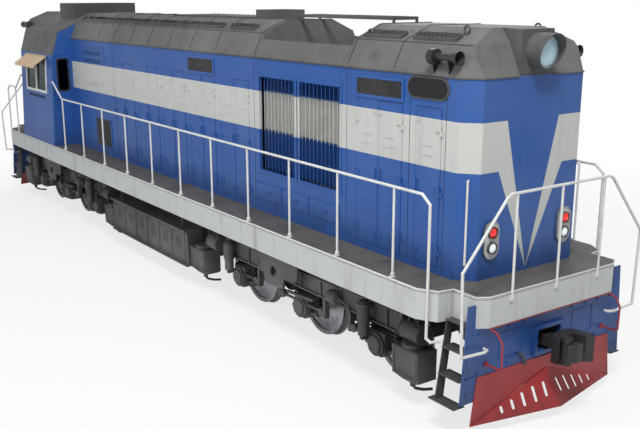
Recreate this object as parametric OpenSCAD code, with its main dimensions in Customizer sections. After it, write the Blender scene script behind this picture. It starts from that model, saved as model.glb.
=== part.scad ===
// Six-axle diesel shunting locomotive: a long hood, a full-width cab and a short hood on a
// platform frame, carried by two three-axle bogies. Millimetres. +X is the long-hood end, +Y is
// the left side, +Z is up. The origin is on the floor below the middle of the frame.

/* [Wheels and bogies] */
// Wheel diameter over the tread
wheel_d = 1050; // [960:10:1080]
// Height of the wheel flange
flange_h = 28; // [24:1:32]
// Width of a wheel over tread and flange
wheel_w = 140; // [125:1:145]
// Distance between the backs of the two wheels of an axle
back_to_back = 1353; // [1340:1:1370]
// Diameter of the axle between its wheels
axle_d = 190; // [160:5:210]
// Diameter of the axle journals
journal_d = 130; // [110:5:150]
// Distance between neighbouring axles of a bogie
axle_pitch = 1800; // [1700:10:1900]
// Distance between the two bogie centres
bogie_pitch = 9800; // [9500:10:9900]
// Distance from the middle of the locomotive to the middle of a bogie side beam
beam_y = 1090; // [1070:5:1110]
// Width of a bogie side beam
beam_w = 220; // [180:5:230]
// Height of a bogie side beam
beam_h = 290; // [220:10:300]
// Height of the underside of the bogie side beams
beam_z = 840; // [820:5:880]
// Diameter of the pin that a bogie turns on
pivot_d = 260; // [200:10:300]
// Outer diameter of a primary spring
spring_d = 150; // [120:5:170]
// Diameter of the upright dampers
damper_d = 180; // [120:10:190]

/* [Platform] */
// Length of the platform
deck_l = 17200; // [17000:10:18000]
// Width of the platform
deck_w = 3210; // [3100:10:3300]
// Height of the walkway
deck_z = 1737; // [1700:1:1800]
// Height of the sill that hangs round the platform
sill_h = 386; // [300:1:400]
// Thickness of the deck plate and the sill plates
plate_t = 12; // [8:1:16]
// Length of the narrowed corners at each end of the platform
corner_l = 734; // [700:1:760]
// Length of the recess beside the end platform, where the steps are
well_l = 370; // [340:1:380]
// Depth of that recess
well_d = 343; // [320:1:350]
// Thickness of an end plate
end_plate_t = 20; // [12:1:25]
// Height of the lower edge of an end plate
end_plate_z = 430; // [400:5:450]
// Height of a coupler's centre line
coupler_z = 940; // [900:5:960]
// Largest swing room of a coupler shank inside its pocket, from middle to side
pocket_w = 205; // [190:5:215]
// Height of the lowest edge of a rail guard
guard_z = 122; // [110:1:150]

/* [Hoods] */
// Width of the hoods
hood_w = 2078; // [2000:2:2100]
// Distance from the end of the platform to the end of a hood
porch_l = 491; // [470:1:520]
// Height of the hood eaves
eave_z = 4156; // [4100:1:4200]
// Width of the roof where its steep panels meet the shallow ones
knee_w = 1728; // [1680:2:1760]
// Height of that bend
knee_z = 4518; // [4480:1:4540]
// Width of the flat roof top
top_w = 910; // [850:2:960]
// Height of the roof top
top_z = 4703; // [4660:1:4740]
// Width of the flat nose between its cut corners
nose_w = 1720; // [1650:2:1760]
// Length of a cut nose corner
nose_corner_l = 216; // [180:1:240]
// Thickness of the hood walls
hood_wall = 40; // [30:1:60]
// Thickness of the roof panels
roof_t = 30; // [20:1:40]

/* [Hood doors] */
// Centre of the first engine door pair
door_x0 = -1700; // [-1720:10:-1660]
// Distance between the engine door pairs
door_pitch = 1107; // [1080:1:1120]
// Number of engine door pairs on each side
door_pairs = 5; // [3:1:5]
// Width of the opening of one door leaf
leaf_w = 468; // [420:1:468]
// Height of the hood doors
door_h = 1965; // [1800:5:2000]
// Thickness of a door leaf
leaf_t = 30; // [20:1:35]
// Gap round a door leaf
leaf_gap = 6; // [5:1:10]
// Height of the door sills above the deck
door_rise = 78; // [60:1:90]
// Centre of the cooler room door pair
cooler_x = 6444; // [6400:1:6460]
// Centre of the nose door
nose_door_x = 7386; // [7350:1:7400]

/* [Radiator] */
// Middle of the radiator shutters and of the fan well
radiator_x = 4560; // [4540:5:4580]
// Length of the radiator shutters
shutter_l = 2190; // [2000:10:2190]
// Height of the radiator shutters
shutter_h = 1560; // [1400:10:1600]
// Height of their lower edge
shutter_z = 2365; // [2300:5:2400]
// Number of slats in each shutter
slat_n = 10; // [6:1:12]
// Length of the fan well
well_x = 2300; // [2200:10:2400]
// Diameter of the radiator fan
fan_d = 1500; // [1300:10:1560]
// Number of fan blades
blade_n = 8; // [5:1:10]

/* [Cab] */
// Place of the cab's front wall
cab_front = -4613; // [-4640:1:-4590]
// Length of the cab
cab_l = 2202; // [2150:1:2250]
// Width of the cab at the deck
cab_w = 3200; // [3100:2:3206]
// Width of the cab at its eaves
cab_eave_w = 3010; // [2960:2:3060]
// Height of the cab's eaves
cab_eave_z = 3800; // [3780:1:3830]
// Width of the cab roof where its steep panels end
shoulder_w = 2700; // [2600:2:2760]
// Height of that bend
shoulder_z = 4303; // [4270:1:4330]
// Thickness of the cab walls
cab_wall = 50; // [40:1:60]
// Length of a side window
window_l = 1370; // [1200:10:1400]
// Height of a side window
window_h = 768; // [700:1:780]
// Height of a side window's lower edge
window_z = 2944; // [2900:1:2960]
// Thickness of the window glass
glass_t = 8; // [5:1:10]

/* [Rails and steps] */
// Diameter of the handrails
rail_d = 36; // [30:1:42]
// Height of the side handrails
rail_z = 2868; // [2800:1:2900]
// Distance from the middle of the locomotive to the side handrails
rail_y = 1556; // [1550:1:1570]
// Place of the first handrail post
post_x0 = -3979; // [-4000:1:-3950]
// Distance between the handrail posts
post_pitch = 1136; // [1120:1:1140]
// Number of handrail posts along each walkway
post_n = 11; // [8:1:11]
// Height of the lowest step
step_z = 400; // [380:5:430]
// Rise from step to step
step_rise = 330; // [310:1:335]

/* [Hidden] */
$fn = 40;
eps = 0.01;
fit = 0.3;
SIDES = ["right", "left"];
ENDS = ["front", "rear"];
axle_z = wheel_d / 2 + flange_h;
end_x = deck_l / 2;
hood_x = end_x - porch_l;
sill_z = deck_z - sill_h;
nose_half = deck_w / 2 - well_d;
well_x1 = end_x - 88;
plate_x = well_x1 + 13;
door_z = deck_z + door_rise;
cab_rear = cab_front - cab_l;
cab_mid = (cab_front + cab_rear) / 2;
hinge_out = 16;
hinge_r = 11;
HINGE_Z = [220, 950, 1690];
post_end_x = 7880;
rail_end_x = 8015;
bearer_y = 1300;
bearer_z = deck_z - plate_t - 220;
girder_z = 1232;
tail_x = end_x - 900;
knuckle_x = end_x + 340;
knuckle_y = 125;
// Middles of the sand boxes along the locomotive
SAND_X = [7445, 1895, -2070, -7445];
// Columns: middle of the air reservoir along the locomotive, its length
TANKS = [[7450, 330], [2350, 300]];
reservoir_y = 1225;
// Guide rods of the axle boxes: the sides of each axle that have one, and where its pedestal stands
GUIDE_SIDES = [[1], [-1, 1], [-1]];
guide_x = 600;
guide_y = 1200;
cab_lean = atan2((cab_w - cab_eave_w) / 2, cab_eave_z - deck_z);
// Places of the jacking brackets' pin holes along the locomotive
JACK_X = [4440, -5490];
jack_r = 80;
jack_y = 1400;

// ---- helpers ----

// How far the cab's leaning side wall stands out at a height
function cab_side_y(z) = cab_w / 2 - (z - deck_z) * tan(cab_lean);

module both_sides() {
    children();
    mirror([0, 1, 0]) children();
}

module both_ends() {
    children();
    mirror([1, 0, 0]) children();
}

module box(low, high) {
    translate(low) cube([high[0] - low[0], high[1] - low[1], high[2] - low[2]]);
}

module rod(a, b, d) {
    v = b - a;
    translate(a)
        rotate([0, acos(v[2] / norm(v)), atan2(v[1], v[0])])
            cylinder(d = d, h = norm(v));
}

// A round bar bent along a list of points
module bar(points, d) {
    for (i = [0:len(points) - 2]) rod(points[i], points[i + 1], d);
    for (i = [1:len(points) - 2]) translate(points[i]) sphere(d = d + 3);
}

// An outline in the XZ plane, extruded along Y between two places
module along_y(y0, y1) {
    translate([0, y1, 0]) rotate([90, 0, 0]) linear_extrude(y1 - y0) children();
}

// An outline in the YZ plane, extruded along X between two places
module along_x(x0, x1) {
    translate([x0, 0, 0]) rotate([90, 0, 90]) linear_extrude(x1 - x0) children();
}

module drum(x, y0, y1, z, r) {
    translate([x, y1, z]) rotate([90, 0, 0]) cylinder(r = r, h = y1 - y0);
}

module rounded(w, h, r) {
    for (x = [r - w / 2, w / 2 - r])
        for (y = [r - h / 2, h / 2 - r]) translate([x, y]) circle(r);
    square([w - 2 * r, h], center = true);
    square([w, h - 2 * r], center = true);
}

module slot(w, h) {
    for (s = [-1, 1]) translate([0, s * (h - w) / 2]) circle(d = w);
    square([w, h - w], center = true);
}

// A flat plate on three corners a, b and c: a is the origin, b lies along its X
module on_plane(a, b, c) {
    u = (b - a) / norm(b - a);
    n = cross(u, c - a) / norm(cross(u, c - a));
    v = cross(n, u);
    multmatrix([[u[0], v[0], n[0], a[0]],
                [u[1], v[1], n[1], a[1]],
                [u[2], v[2], n[2], a[2]],
                [0, 0, 0, 1]])
        children();
}

// ---- platform and frame ----

// One quarter of the platform's outline, from the middle of its end to the side
function platform_quarter(t) = [
    [end_x - t, nose_half - 142 - t / 2],
    [well_x1 - t / 2, nose_half - t],
    [well_x1 - well_l - t, nose_half - t],
    [end_x - 490 - t, nose_half + 208 - t / 2],
    [end_x - corner_l - t / 2, deck_w / 2 - t]
];

function platform_outline(t = 0) =
    let (q = platform_quarter(t), n = len(q))
    concat(q,
        [for (i = [1:n]) [-q[n - i][0], q[n - i][1]]],
        [for (p = q) -p],
        [for (i = [1:n]) [q[n - i][0], -q[n - i][1]]]);

module platform() {
    color("gainsboro")
    difference() {
        translate([0, 0, sill_z]) linear_extrude(sill_h) polygon(platform_outline());
        translate([0, 0, sill_z - 1])
            linear_extrude(sill_h + 1 - plate_t) polygon(platform_outline(plate_t));
    }
}

module girder() {
    y = 560;
    box([-end_x + 800, y - 12, girder_z], [end_x - 800, y + 12, deck_z - plate_t]);
    box([-end_x + 800, y - 110, girder_z], [end_x - 800, y + 110, girder_z + 28]);
    box([-end_x + 800, y - 110, deck_z - plate_t - 28], [end_x - 800, y + 110, deck_z - plate_t]);
}

// The open box behind an end plate that the coupler's tail turns in
module draft_box() {
    difference() {
        box([tail_x - 200, -pocket_w - 60, coupler_z - 190],
            [plate_x - end_plate_t, pocket_w + 60, girder_z]);
        box([tail_x - 170, -pocket_w - 25, coupler_z - 130],
            [plate_x, pocket_w + 25, coupler_z + 170]);
    }
    translate([tail_x, 0, coupler_z - 135]) cylinder(d = 80, h = 310);
    for (y = [-450, 270])
        box([tail_x - 180, y, girder_z - 6], [plate_x - end_plate_t, y + 180, girder_z]);
}

module jacking_bracket(x) {
    // Outline from the pin hole's place: up the rear edge, the foot, the notch and the front
    difference() {
        along_y(jack_y, jack_y + 25)
            polygon([[x - 540, sill_z + 60], [x - 207, 790], [x + 258, 800], [x + 292, 972],
                     [x + 580, 985], [x + 650, 1057], [x + 662, sill_z + 60]]);
        drum(x, jack_y - 1, jack_y + 26, 1021, jack_r);
    }
    for (dx = [-420, 300])
        box([x + dx, bearer_y + 40, sill_z - 120], [x + dx + 16, jack_y, bearer_z + 100]);
}

module underframe() {
    color("dimgray") {
        both_sides() girder();
        // Side bearers under the walkway
        both_sides() box([-end_x + 760, bearer_y - 40, bearer_z],
                         [end_x - 760, bearer_y + 40, deck_z - plate_t]);
        // Cross bearers
        for (x = [-7600:1900:7600])
            box([x - 8, -deck_w / 2 + 40, bearer_z], [x + 8, deck_w / 2 - 40, deck_z - plate_t]);
        // Bolsters with the pivot pins and side pads
        for (s = [-1, 1]) {
            x = s * bogie_pitch / 2;
            box([x - 330, -beam_y - 90, girder_z], [x + 330, beam_y + 90, girder_z + 60]);
            translate([x, 0, 1000]) cylinder(d = pivot_d, h = girder_z + 30 - 1000);
            for (y = [-1, 1]) for (dx = [-260, 260])
                translate([x + dx, y * beam_y, beam_z + beam_h + 80 + fit])
                    cylinder(d = 150, h = girder_z + 10 - (beam_z + beam_h + 80 + fit));
        }
        both_ends() draft_box();
        // End cross members
        both_ends() box([end_x - 830, -nose_half + 30, sill_z], [end_x - 800, nose_half - 30, deck_z - plate_t]);
        both_sides() for (x = JACK_X) jacking_bracket(x);
    }
}

// Columns: half width and height of the end plate's outline, from the middle down
module end_plate() {
    skirt_y = nose_half - 75;
    difference() {
        along_x(plate_x - end_plate_t, plate_x)
            polygon([[-skirt_y, deck_z - plate_t], [-skirt_y, sill_z], [-nose_half - 4, sill_z],
                     [-nose_half - 4, 1640], [-1385, 1640], [-1465, end_plate_z],
                     [1465, end_plate_z], [1385, 1640], [nose_half + 4, 1640],
                     [nose_half + 4, sill_z], [skirt_y, sill_z], [skirt_y, deck_z - plate_t]]);
        box([plate_x - 50, -pocket_w, coupler_z - 115], [plate_x + 1, pocket_w, coupler_z + 165]);
    }
    // Frame round the coupler pocket
    difference() {
        box([plate_x, -pocket_w - 57, coupler_z - 165], [plate_x + 40, pocket_w + 57, coupler_z + 215]);
        box([plate_x - 1, -pocket_w, coupler_z - 115], [plate_x + 41, pocket_w, coupler_z + 165]);
    }
}

module end_plates() {
    color("royalblue") both_ends() end_plate();
}

// ---- rail guards ----

GUARD_TOP = [1210, 733];
GUARD_TIP = [1294, guard_z];
guard_apex_z = 561;
guard_reach = 286;
// Columns: place of a slot along the guard's lower edge, its height
GUARD_SLOTS = [[95, 150], [265, 190], [440, 190], [610, 140], [780, 90]];

module guard_wing() {
    a = [plate_x + guard_reach, 0, guard_z + 10];
    b = [plate_x + 8, -GUARD_TIP[0], guard_z];
    c = [plate_x + 11, 0, guard_apex_z - 6];
    l = norm(b - a);
    u = (b - a) / l;
    cu = (c - a) * u;
    cv = norm((c - a) - cu * u);
    on_plane(a, b, c) translate([0, 0, -plate_t])
        difference() {
            linear_extrude(plate_t) polygon([[0, 0], [l, 0], [cu, cv]]);
            for (s = GUARD_SLOTS)
                translate([s[0] + 60, cv * (1 - (s[0] + 60) / l) / 2 + 25, -1])
                    linear_extrude(plate_t + 2)
                        slot(46, s[1] * (1 - (s[0] + 60) / l) + 56);
        }
}

module rail_guard() {
    along_x(plate_x, plate_x + plate_t)
        polygon([[-GUARD_TOP[0], GUARD_TOP[1]], [-GUARD_TIP[0], GUARD_TIP[1]], [0, guard_apex_z],
                 [GUARD_TIP[0], GUARD_TIP[1]], [GUARD_TOP[0], GUARD_TOP[1]]]);
    both_sides() guard_wing();
}

module rail_guards() {
    color("firebrick") both_ends() rail_guard();
}

// ---- steps and rails ----

// Outer edge of the leaning ladder at a height
function ladder_y(z) = 1361 + (1387 - z) * 0.155;

module step_ladder() {
    x0 = well_x1 - well_l + 4;
    top_step = step_z + 3 * step_rise;
    along_x(x0, x0 + plate_t)
        polygon([[ladder_y(step_z) - 135, step_z], [ladder_y(step_z), step_z],
                 [ladder_y(top_step), top_step], [nose_half, top_step], [nose_half, sill_z - 40]]);
    box([x0 - 85, ladder_y(step_z) - 150, step_z - plate_t],
        [plate_x - end_plate_t, ladder_y(step_z) + 30, step_z]);
    for (i = [1:3]) {
        z = step_z + i * step_rise;
        y0 = i == 3 ? nose_half : ladder_y(z) - 180;
        box([x0, y0, z - plate_t], [plate_x - end_plate_t, ladder_y(z) + 15, z]);
    }
}

module step_ladders() {
    color("dimgray") both_ends() both_sides() step_ladder();
}

module side_rail() {
    y = rail_y;
    hook_y = ladder_y(1096) - 10;
    hook_x = well_x1 - well_l + 4;
    // Long walkway
    bar([[cab_front, y - 12, 3200], [cab_front + 60, y - 8, 3200], [post_x0 - 30, y, rail_z],
         [post_end_x, y, rail_z], [rail_end_x, y, rail_z - 105], [rail_end_x, y, 1140],
         [rail_end_x + 45, y - 30, 1096], [hook_x - 40, hook_y, 1096], [hook_x, hook_y, 1096]], rail_d);
    for (i = [0:post_n - 1]) {
        x = post_x0 + i * post_pitch;
        translate([x, y, deck_z]) cylinder(d = rail_d - 4, h = rail_z - deck_z);
        translate([x, y, deck_z]) cylinder(d = rail_d + 34, h = 10);
    }
    // Short walkway behind the cab
    bar([[cab_rear, y - 12, 3200], [cab_rear - 60, y - 8, 3200], [cab_rear - 500, y, rail_z],
         [-post_end_x, y, rail_z], [-rail_end_x, y, rail_z - 105], [-rail_end_x, y, 1140],
         [-rail_end_x - 45, y - 30, 1096], [40 - hook_x, hook_y, 1096], [-hook_x, hook_y, 1096]], rail_d);
    x = -(post_x0 + (post_n - 1) * post_pitch);
    translate([x, y, deck_z]) cylinder(d = rail_d - 4, h = rail_z - deck_z);
    translate([x, y, deck_z]) cylinder(d = rail_d + 34, h = 10);
}

module end_rail() {
    x = end_x + rail_d / 2;
    left = [[plate_x, 1115, 1075], [x - 40, 1115, 1075], [x, 1190, 1078], [x, 1570, 1100],
            [x, 1603, 2110], [x, 940, 2880], [x, 870, 2913]];
    right = [for (i = [1:len(left)]) let (p = left[len(left) - i]) [p[0], -p[1], p[2]]];
    bar(concat(left, right), rail_d);
    for (y = [-780, 0, 780]) {
        translate([x, y, 1640]) cylinder(d = rail_d - 4, h = 2913 - 1640);
        box([end_x, y - 25, 1620], [x, y + 25, 1700]);
    }
}

// Upright grab bar on a cut nose corner
module grab_bar() {
    x = hood_x - nose_corner_l / 2;
    y = (hood_w + nose_w) / 4;
    angle = atan2(nose_corner_l, (hood_w - nose_w) / 2);
    out = [cos(angle), sin(angle), 0];
    a = [x, y, 1960];
    b = [x, y, 2970];
    bar([a + fit * out, a + 70 * out, b + 70 * out, b + fit * out], 28);
}

module handrails() {
    color("whitesmoke") {
        both_sides() side_rail();
        both_ends() end_rail();
        both_ends() both_sides() grab_bar();
    }
}

module coupling_rod() {
    x = plate_x + 60;
    z = sill_z - 15;
    half = [[x, 0, z], [x, 1085, z], [x + 120, 1085, z - 30], [x + 195, 1080, z - 130],
            [x + 195, 1072, 900], [x + 150, 1070, 872], [plate_x + 1, 1070, 868]];
    both_sides() bar(half, 24);
    for (y = [-900, 0, 900]) {
        box([plate_x, y - 30, z - 40], [plate_x + 12, y + 30, z + 50]);
        box([plate_x + 12, y - 10, z - 12], [x, y + 10, z + 12]);
    }
}

module coupling_rods() {
    color("firebrick") both_ends() coupling_rod();
}

// ---- under the floor ----

module battery_box() {
    x0 = -1790;
    x1 = 1545;
    y0 = 1070;
    y1 = 1392;
    door = (x1 - x0 - 150) / 6;
    difference() {
        union() {
            box([x0, y0, 352], [x1, y1, 1023]);
            box([x0 - 15, y1 - 10, 352], [x1 + 15, y1 + 40, 376]);
            box([x0 - 15, y1 - 10, 985], [x1 + 15, y1 + 55, 1023]);
        }
        for (i = [0:5])
            box([x0 + 75 + i * door, y1 - 6, 400], [x0 + 63 + (i + 1) * door, y1 + 1, 960]);
    }
    for (i = [0:5])
        box([x0 + 82 + i * door, y1 - 6, 407], [x0 + 56 + (i + 1) * door, y1 + 4, 953]);
    for (x = [x0 + 300, x1 - 330]) box([x, bearer_y - 30, 1023], [x + 30, bearer_y + 30, bearer_z]);
}

module battery_boxes() {
    color("dimgray") both_sides() battery_box();
}

module fuel_tank() {
    color("dimgray") along_x(-1700, 1500)
        polygon([[-1040, girder_z], [1040, girder_z], [1040, 640], [820, 420], [-820, 420], [-1040, 640]]);
}

module air_reservoir(x, l) {
    r = 130;
    translate([x - l / 2, reservoir_y, 965]) rotate([0, 90, 0]) cylinder(r = r, h = l);
    for (s = [-1, 1])
        translate([x + s * (l / 2 + 5) - 12, reservoir_y, 965]) rotate([0, 90, 0]) cylinder(r = r + 8, h = 24);
    for (dx = [-l / 4, l / 4])
        box([x + dx - 10, reservoir_y - 15, 1060], [x + dx + 10, bearer_y - 40, bearer_z + 60]);
    for (dx = [-l / 4, l / 4])
        box([x + dx - 10, bearer_y - 60, bearer_z - 10], [x + dx + 10, bearer_y, bearer_z]);
}

module air_reservoirs() {
    color("dimgray") both_ends() both_sides() for (t = TANKS) air_reservoir(t[0], t[1]);
}

module sand_box(x) {
    w = 490;
    y0 = 1060;
    y1 = 1390;
    z1 = 770;
    z0 = 300;
    // Body tapers to the outlet
    intersection() {
        along_y(y0, y1)
            polygon([[x - w / 2, z1], [x - w / 2, z0 + 60], [x - w / 2 + 120, z0],
                     [x + w / 2 - 120, z0], [x + w / 2, z0 + 60], [x + w / 2, z1]]);
        along_x(x - w, x + w)
            polygon([[y0, z1], [y0, z0], [y1 - 90, z0], [y1 - 25, z0 + 80], [y1, z1]]);
    }
    translate([x, 1230, z1]) cylinder(r = 150, h = 26);
    translate([x, 1230, z0 - 70]) cylinder(r = 38, h = 71);
    for (dx = [-140, 120])
        box([x + dx, y0, z1 - 40], [x + dx + 20, y0 + 14, bearer_z + 60]);
    for (dx = [-140, 120])
        box([x + dx, y0, bearer_z - 12], [x + dx + 20, bearer_y - 20, bearer_z]);
}

module sand_boxes() {
    color("dimgray") both_sides() for (x = SAND_X) sand_box(x);
}

// ---- bogies ----

BOGIE_AXLES = [-axle_pitch, 0, axle_pitch];

// Brake shoe on the side of a wheel given by s, with its hanger
module brake_shoe(x, s) {
    r = wheel_d / 2;
    intersection() {
        difference() {
            drum(x, 716, 795, axle_z, r + 75);
            drum(x, 715, 796, axle_z, r + 8);
        }
        box([x + (s > 0 ? 0 : -r - 90), 700, axle_z - 190], [x + (s > 0 ? r + 90 : 0), 796, axle_z + 190]);
    }
    xs = x + s * (r + 55);
    box([xs - 14, 730, axle_z + 120], [xs + 14, 765, beam_z + 20]);
    box([xs - 20, 730, beam_z - 40], [xs + 20, beam_y - beam_w / 2, beam_z + 20]);
}

module bogie_frame() {
    l = 2 * axle_pitch + 960;
    top = beam_z + beam_h;
    both_sides() {
        difference() {
            box([-l / 2, beam_y - beam_w / 2, beam_z], [l / 2, beam_y + beam_w / 2, top]);
            for (s = [-1, 1])
                translate([s * l / 2, beam_y, beam_z]) rotate([0, s * 35, 0])
                    cube([200, beam_w + 2, 300], center = true);
        }
        box([-l / 2 + 90, beam_y + beam_w / 2 - 1, beam_z], [l / 2 - 90, beam_y + beam_w / 2 + 30, beam_z + 24]);
        for (x = [-260, 260])
            translate([x, beam_y, top]) cylinder(d = 150, h = 80);
        for (i = [0:2]) for (s = GUIDE_SIDES[i]) {
            x = BOGIE_AXLES[i] + s * guide_x;
            box([x - 30, guide_y - 45, axle_z - 10], [x + 30, guide_y + 35, beam_z]);
        }
        brake_shoe(-axle_pitch, 1);
        brake_shoe(0, 1);
        brake_shoe(axle_pitch, -1);
    }
    // Cross beams between the axles, and the beams that carry the pivot ring
    for (x = [-900, 900])
        box([x - 110, -beam_y + beam_w / 2, 900], [x + 110, beam_y - beam_w / 2, top - 60]);
    for (y = [-330, 130])
        box([-900, y, 960], [900, y + 200, top - 70]);
    difference() {
        translate([0, 0, 960]) cylinder(d = pivot_d + 240, h = top - 960);
        translate([0, 0, 950]) cylinder(d = pivot_d + 1, h = 300);
    }
}

// Axle box with a guide rod to the frame on each side given
module axle_box(sides) {
    r = journal_d / 2 + 0.5;
    y0 = 960;
    y1 = 1225;
    difference() {
        union() {
            box([-165, y0, axle_z - 170], [165, y1, axle_z + 180]);
            box([-330, 1015, axle_z - 95], [330, 1165, axle_z - 55]);
            drum(0, y1, y1 + 35, axle_z, 165);
        }
        drum(0, y0 - 1, y1 - 5, axle_z, r);
        // Undercut corners
        for (s = [-1, 1])
            translate([s * 165, (y0 + y1) / 2, axle_z - 170]) rotate([0, 45, 0])
                cube([90, y1 - y0 + 2, 90], center = true);
    }
    drum(0, y1 + 35, y1 + 60, axle_z, 125);
    bush_x = guide_x - 30 - 60 - fit;
    for (s = sides) {
        rod([s * 165, guide_y, axle_z + 60], [s * bush_x, guide_y, axle_z + 60], 44);
        drum(s * bush_x, guide_y - 45, guide_y + 35, axle_z + 60, 60);
    }
}

module axle_boxes() {
    color("dimgray") for (i = [0:2]) translate([BOGIE_AXLES[i], 0, 0]) both_sides() axle_box(GUIDE_SIDES[i]);
}

// A coil spring as one turned body with a ridge for each turn
module spring(h) {
    turns = 7;
    pitch = h / turns;
    r = spring_d / 2;
    ridges = [for (i = [0:turns - 1]) for (k = [[r - 22, 4], [r, 12], [r, 28], [r - 22, 36]])
                 [k[0], i * pitch + k[1]]];
    rotate_extrude() polygon(concat([[0, 0], [r - 22, 0]], ridges, [[r - 22, h], [0, h]]));
}

module damper(x) {
    y = beam_y + beam_w / 2 + 140;
    z0 = axle_z + 110;
    z1 = 1120;
    translate([x, y, z0]) cylinder(d = damper_d - 30, h = z1 - z0);
    translate([x, y, z0 + 180]) cylinder(d = damper_d, h = z1 - z0 - 180);
    translate([x, y, z1]) cylinder(d = damper_d - 40, h = 24);
    box([x - 30, beam_y + beam_w / 2, z1 - 90], [x + 30, y, z1 - 40]);
    box([x - 40, 1260 + fit, axle_z + 40], [x + 20, y + 30, axle_z + 112]);
}

module suspension() {
    seat = axle_z - 55;
    color("dimgray") both_sides() {
        for (x = BOGIE_AXLES) for (s = [-1, 1])
            translate([x + s * 250, beam_y, seat]) spring(beam_z - seat);
        for (s = [-1, 1]) damper(s * axle_pitch - 150);
    }
}

module traction_motor(s) {
    difference() {
        union() {
            translate([s * 430, 0, 0]) drum(0, -520, 520, 615, 320);
            box([min(0, s * 430), -470, axle_z - 90], [max(0, s * 430), 470, axle_z + 180]);
            drum(0, -560, 560, axle_z, axle_d / 2 + 45);
        }
        drum(0, -600, 600, axle_z, axle_d / 2 + 1);
    }
}

module traction_motors() {
    color("dimgray") {
        translate([-axle_pitch, 0, 0]) traction_motor(1);
        traction_motor(1);
        translate([axle_pitch, 0, 0]) traction_motor(-1);
        // Torque arms up to the cross beams
        for (x = [-900, 900]) box([x - 60, -200, 640], [x + 60, -100, 900]);
    }
}

function wheel_profile() =
    let (r = wheel_d / 2, w = wheel_w)
    [[axle_d / 2, -20], [axle_d / 2 + 45, -20], [axle_d / 2 + 60, 25], [r - 75, 5], [r - 60, 0],
     [r + flange_h - 8, 0], [r + flange_h, 12], [r + flange_h - 6, 26], [r + 6, 36], [r, 48],
     [r - 3, w], [r - 62, w], [r - 75, w - 45], [axle_d / 2 + 75, 110],
     [axle_d / 2 + 60, w + 25], [axle_d / 2, w + 25]];

module wheelset() {
    color("gray") translate([0, 0, axle_z]) rotate([90, 0, 0]) {
        translate([0, 0, -900]) cylinder(d = axle_d, h = 1800);
        translate([0, 0, -1215]) cylinder(d = journal_d, h = 2430);
        for (s = [0, 1]) mirror([0, 0, s]) translate([0, 0, back_to_back / 2])
            rotate_extrude($fn = 96) polygon(wheel_profile());
    }
}

// ---- couplers ----

module coupler_body() {
    z = coupler_z;
    difference() {
        union() {
            translate([tail_x, 0, z - 80]) cylinder(r = 95, h = 160);
            box([tail_x, -75, z - 70], [end_x + 130, 75, z + 70]);
            translate([0, 0, z - 170]) linear_extrude(340)
                polygon([[end_x + 120, -110], [end_x + 180, -215], [end_x + 300, -215],
                         [end_x + 262, -120], [end_x + 262, 60], [end_x + 420, 120],
                         [end_x + 480, 205], [end_x + 440, 235], [end_x + 180, 180],
                         [end_x + 120, 110]]);
            for (dz = [-170, 120]) translate([knuckle_x, -knuckle_y, z + dz]) cylinder(r = 62, h = 50);
            for (dz = [-170, 120])
                box([end_x + 200, -knuckle_y - 55, z + dz], [knuckle_x, -knuckle_y + 55, z + dz + 50]);
        }
        translate([tail_x, 0, z - 200]) cylinder(d = 81, h = 400);
        translate([knuckle_x, -knuckle_y, z - 180]) cylinder(d = 41, h = 360);
        translate([knuckle_x, -knuckle_y, z - 115]) cylinder(r = 76, h = 230);
    }
}

module coupler() {
    color("darkslategray") coupler_body();
}

module knuckle() {
    z = coupler_z;
    color("darkslategray") translate([knuckle_x, -knuckle_y, 0]) {
        translate([0, 0, z - 114]) cylinder(r = 62, h = 228);
        translate([0, 0, z - 171]) cylinder(d = 40, h = 342);
        translate([0, 0, z - 114]) linear_extrude(228)
            polygon([[-10, -62], [60, -62], [135, 20], [130, 130], [70, 150], [50, 95], [0, 60]]);
    }
}

// ---- hoods ----

// Points of the hood's cross section, drawn in by t
function hood_section(z0, t) = [
    [hood_w / 2 - t, z0], [hood_w / 2 - t, eave_z - t / 4],
    [knee_w / 2 - 0.8 * t, knee_z - 0.6 * t], [top_w / 2 - 0.4 * t, top_z - t],
    [-top_w / 2 + 0.4 * t, top_z - t], [-knee_w / 2 + 0.8 * t, knee_z - 0.6 * t],
    [-hood_w / 2 + t, eave_z - t / 4], [-hood_w / 2 + t, z0]];

// Points of the hood's long section, with the sloping hips at both ends
function hood_profile(z0, t) = [
    [hood_x - t, z0], [hood_x - t, eave_z - t / 4],
    [hood_x - 175 - 0.8 * t, knee_z - 0.6 * t], [hood_x - 316 - 0.8 * t, top_z - t],
    [-hood_x + 316 + 0.8 * t, top_z - t], [-hood_x + 175 + 0.8 * t, knee_z - 0.6 * t],
    [-hood_x + t, eave_z - t / 4], [-hood_x + t, z0]];

// Everything inside the cut nose corners, which lean in above the eaves
module corner_cuts(t) {
    c = nose_corner_l;
    d = (hood_w - nose_w) / 2;
    a = atan2(c, d);
    n = [cos(a), sin(a)];
    far = (hood_x * n[0] + nose_w / 2 * n[1]) - t;
    both_ends() both_sides()
        rotate([0, 0, a]) translate([far, 0, 0])
            along_y(-6000, 6000)
                polygon([[0, 1000], [1500, 1000], [1500, 5000], [-160, 5000], [0, eave_z]]);
}

module hood_form(z0, t = 0) {
    difference() {
        intersection() {
            along_x(-hood_x, hood_x) polygon(hood_section(z0, t));
            along_y(-hood_w, hood_w) polygon(hood_profile(z0, t));
        }
        corner_cuts(t);
    }
}

// The stretch of a hood form from z0 to z1, without the cab's length
module hood_shell(z0, z1, t) {
    intersection() {
        difference() {
            hood_form(deck_z, 0);
            hood_form(deck_z - 10, t);
        }
        union() {
            box([cab_front, -hood_w, z0], [hood_x + 1, hood_w, z1]);
            box([-hood_x - 1, -hood_w, z0], [cab_rear, hood_w, z1]);
        }
    }
}

function pair_x(i) = door_x0 + i * door_pitch;

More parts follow.
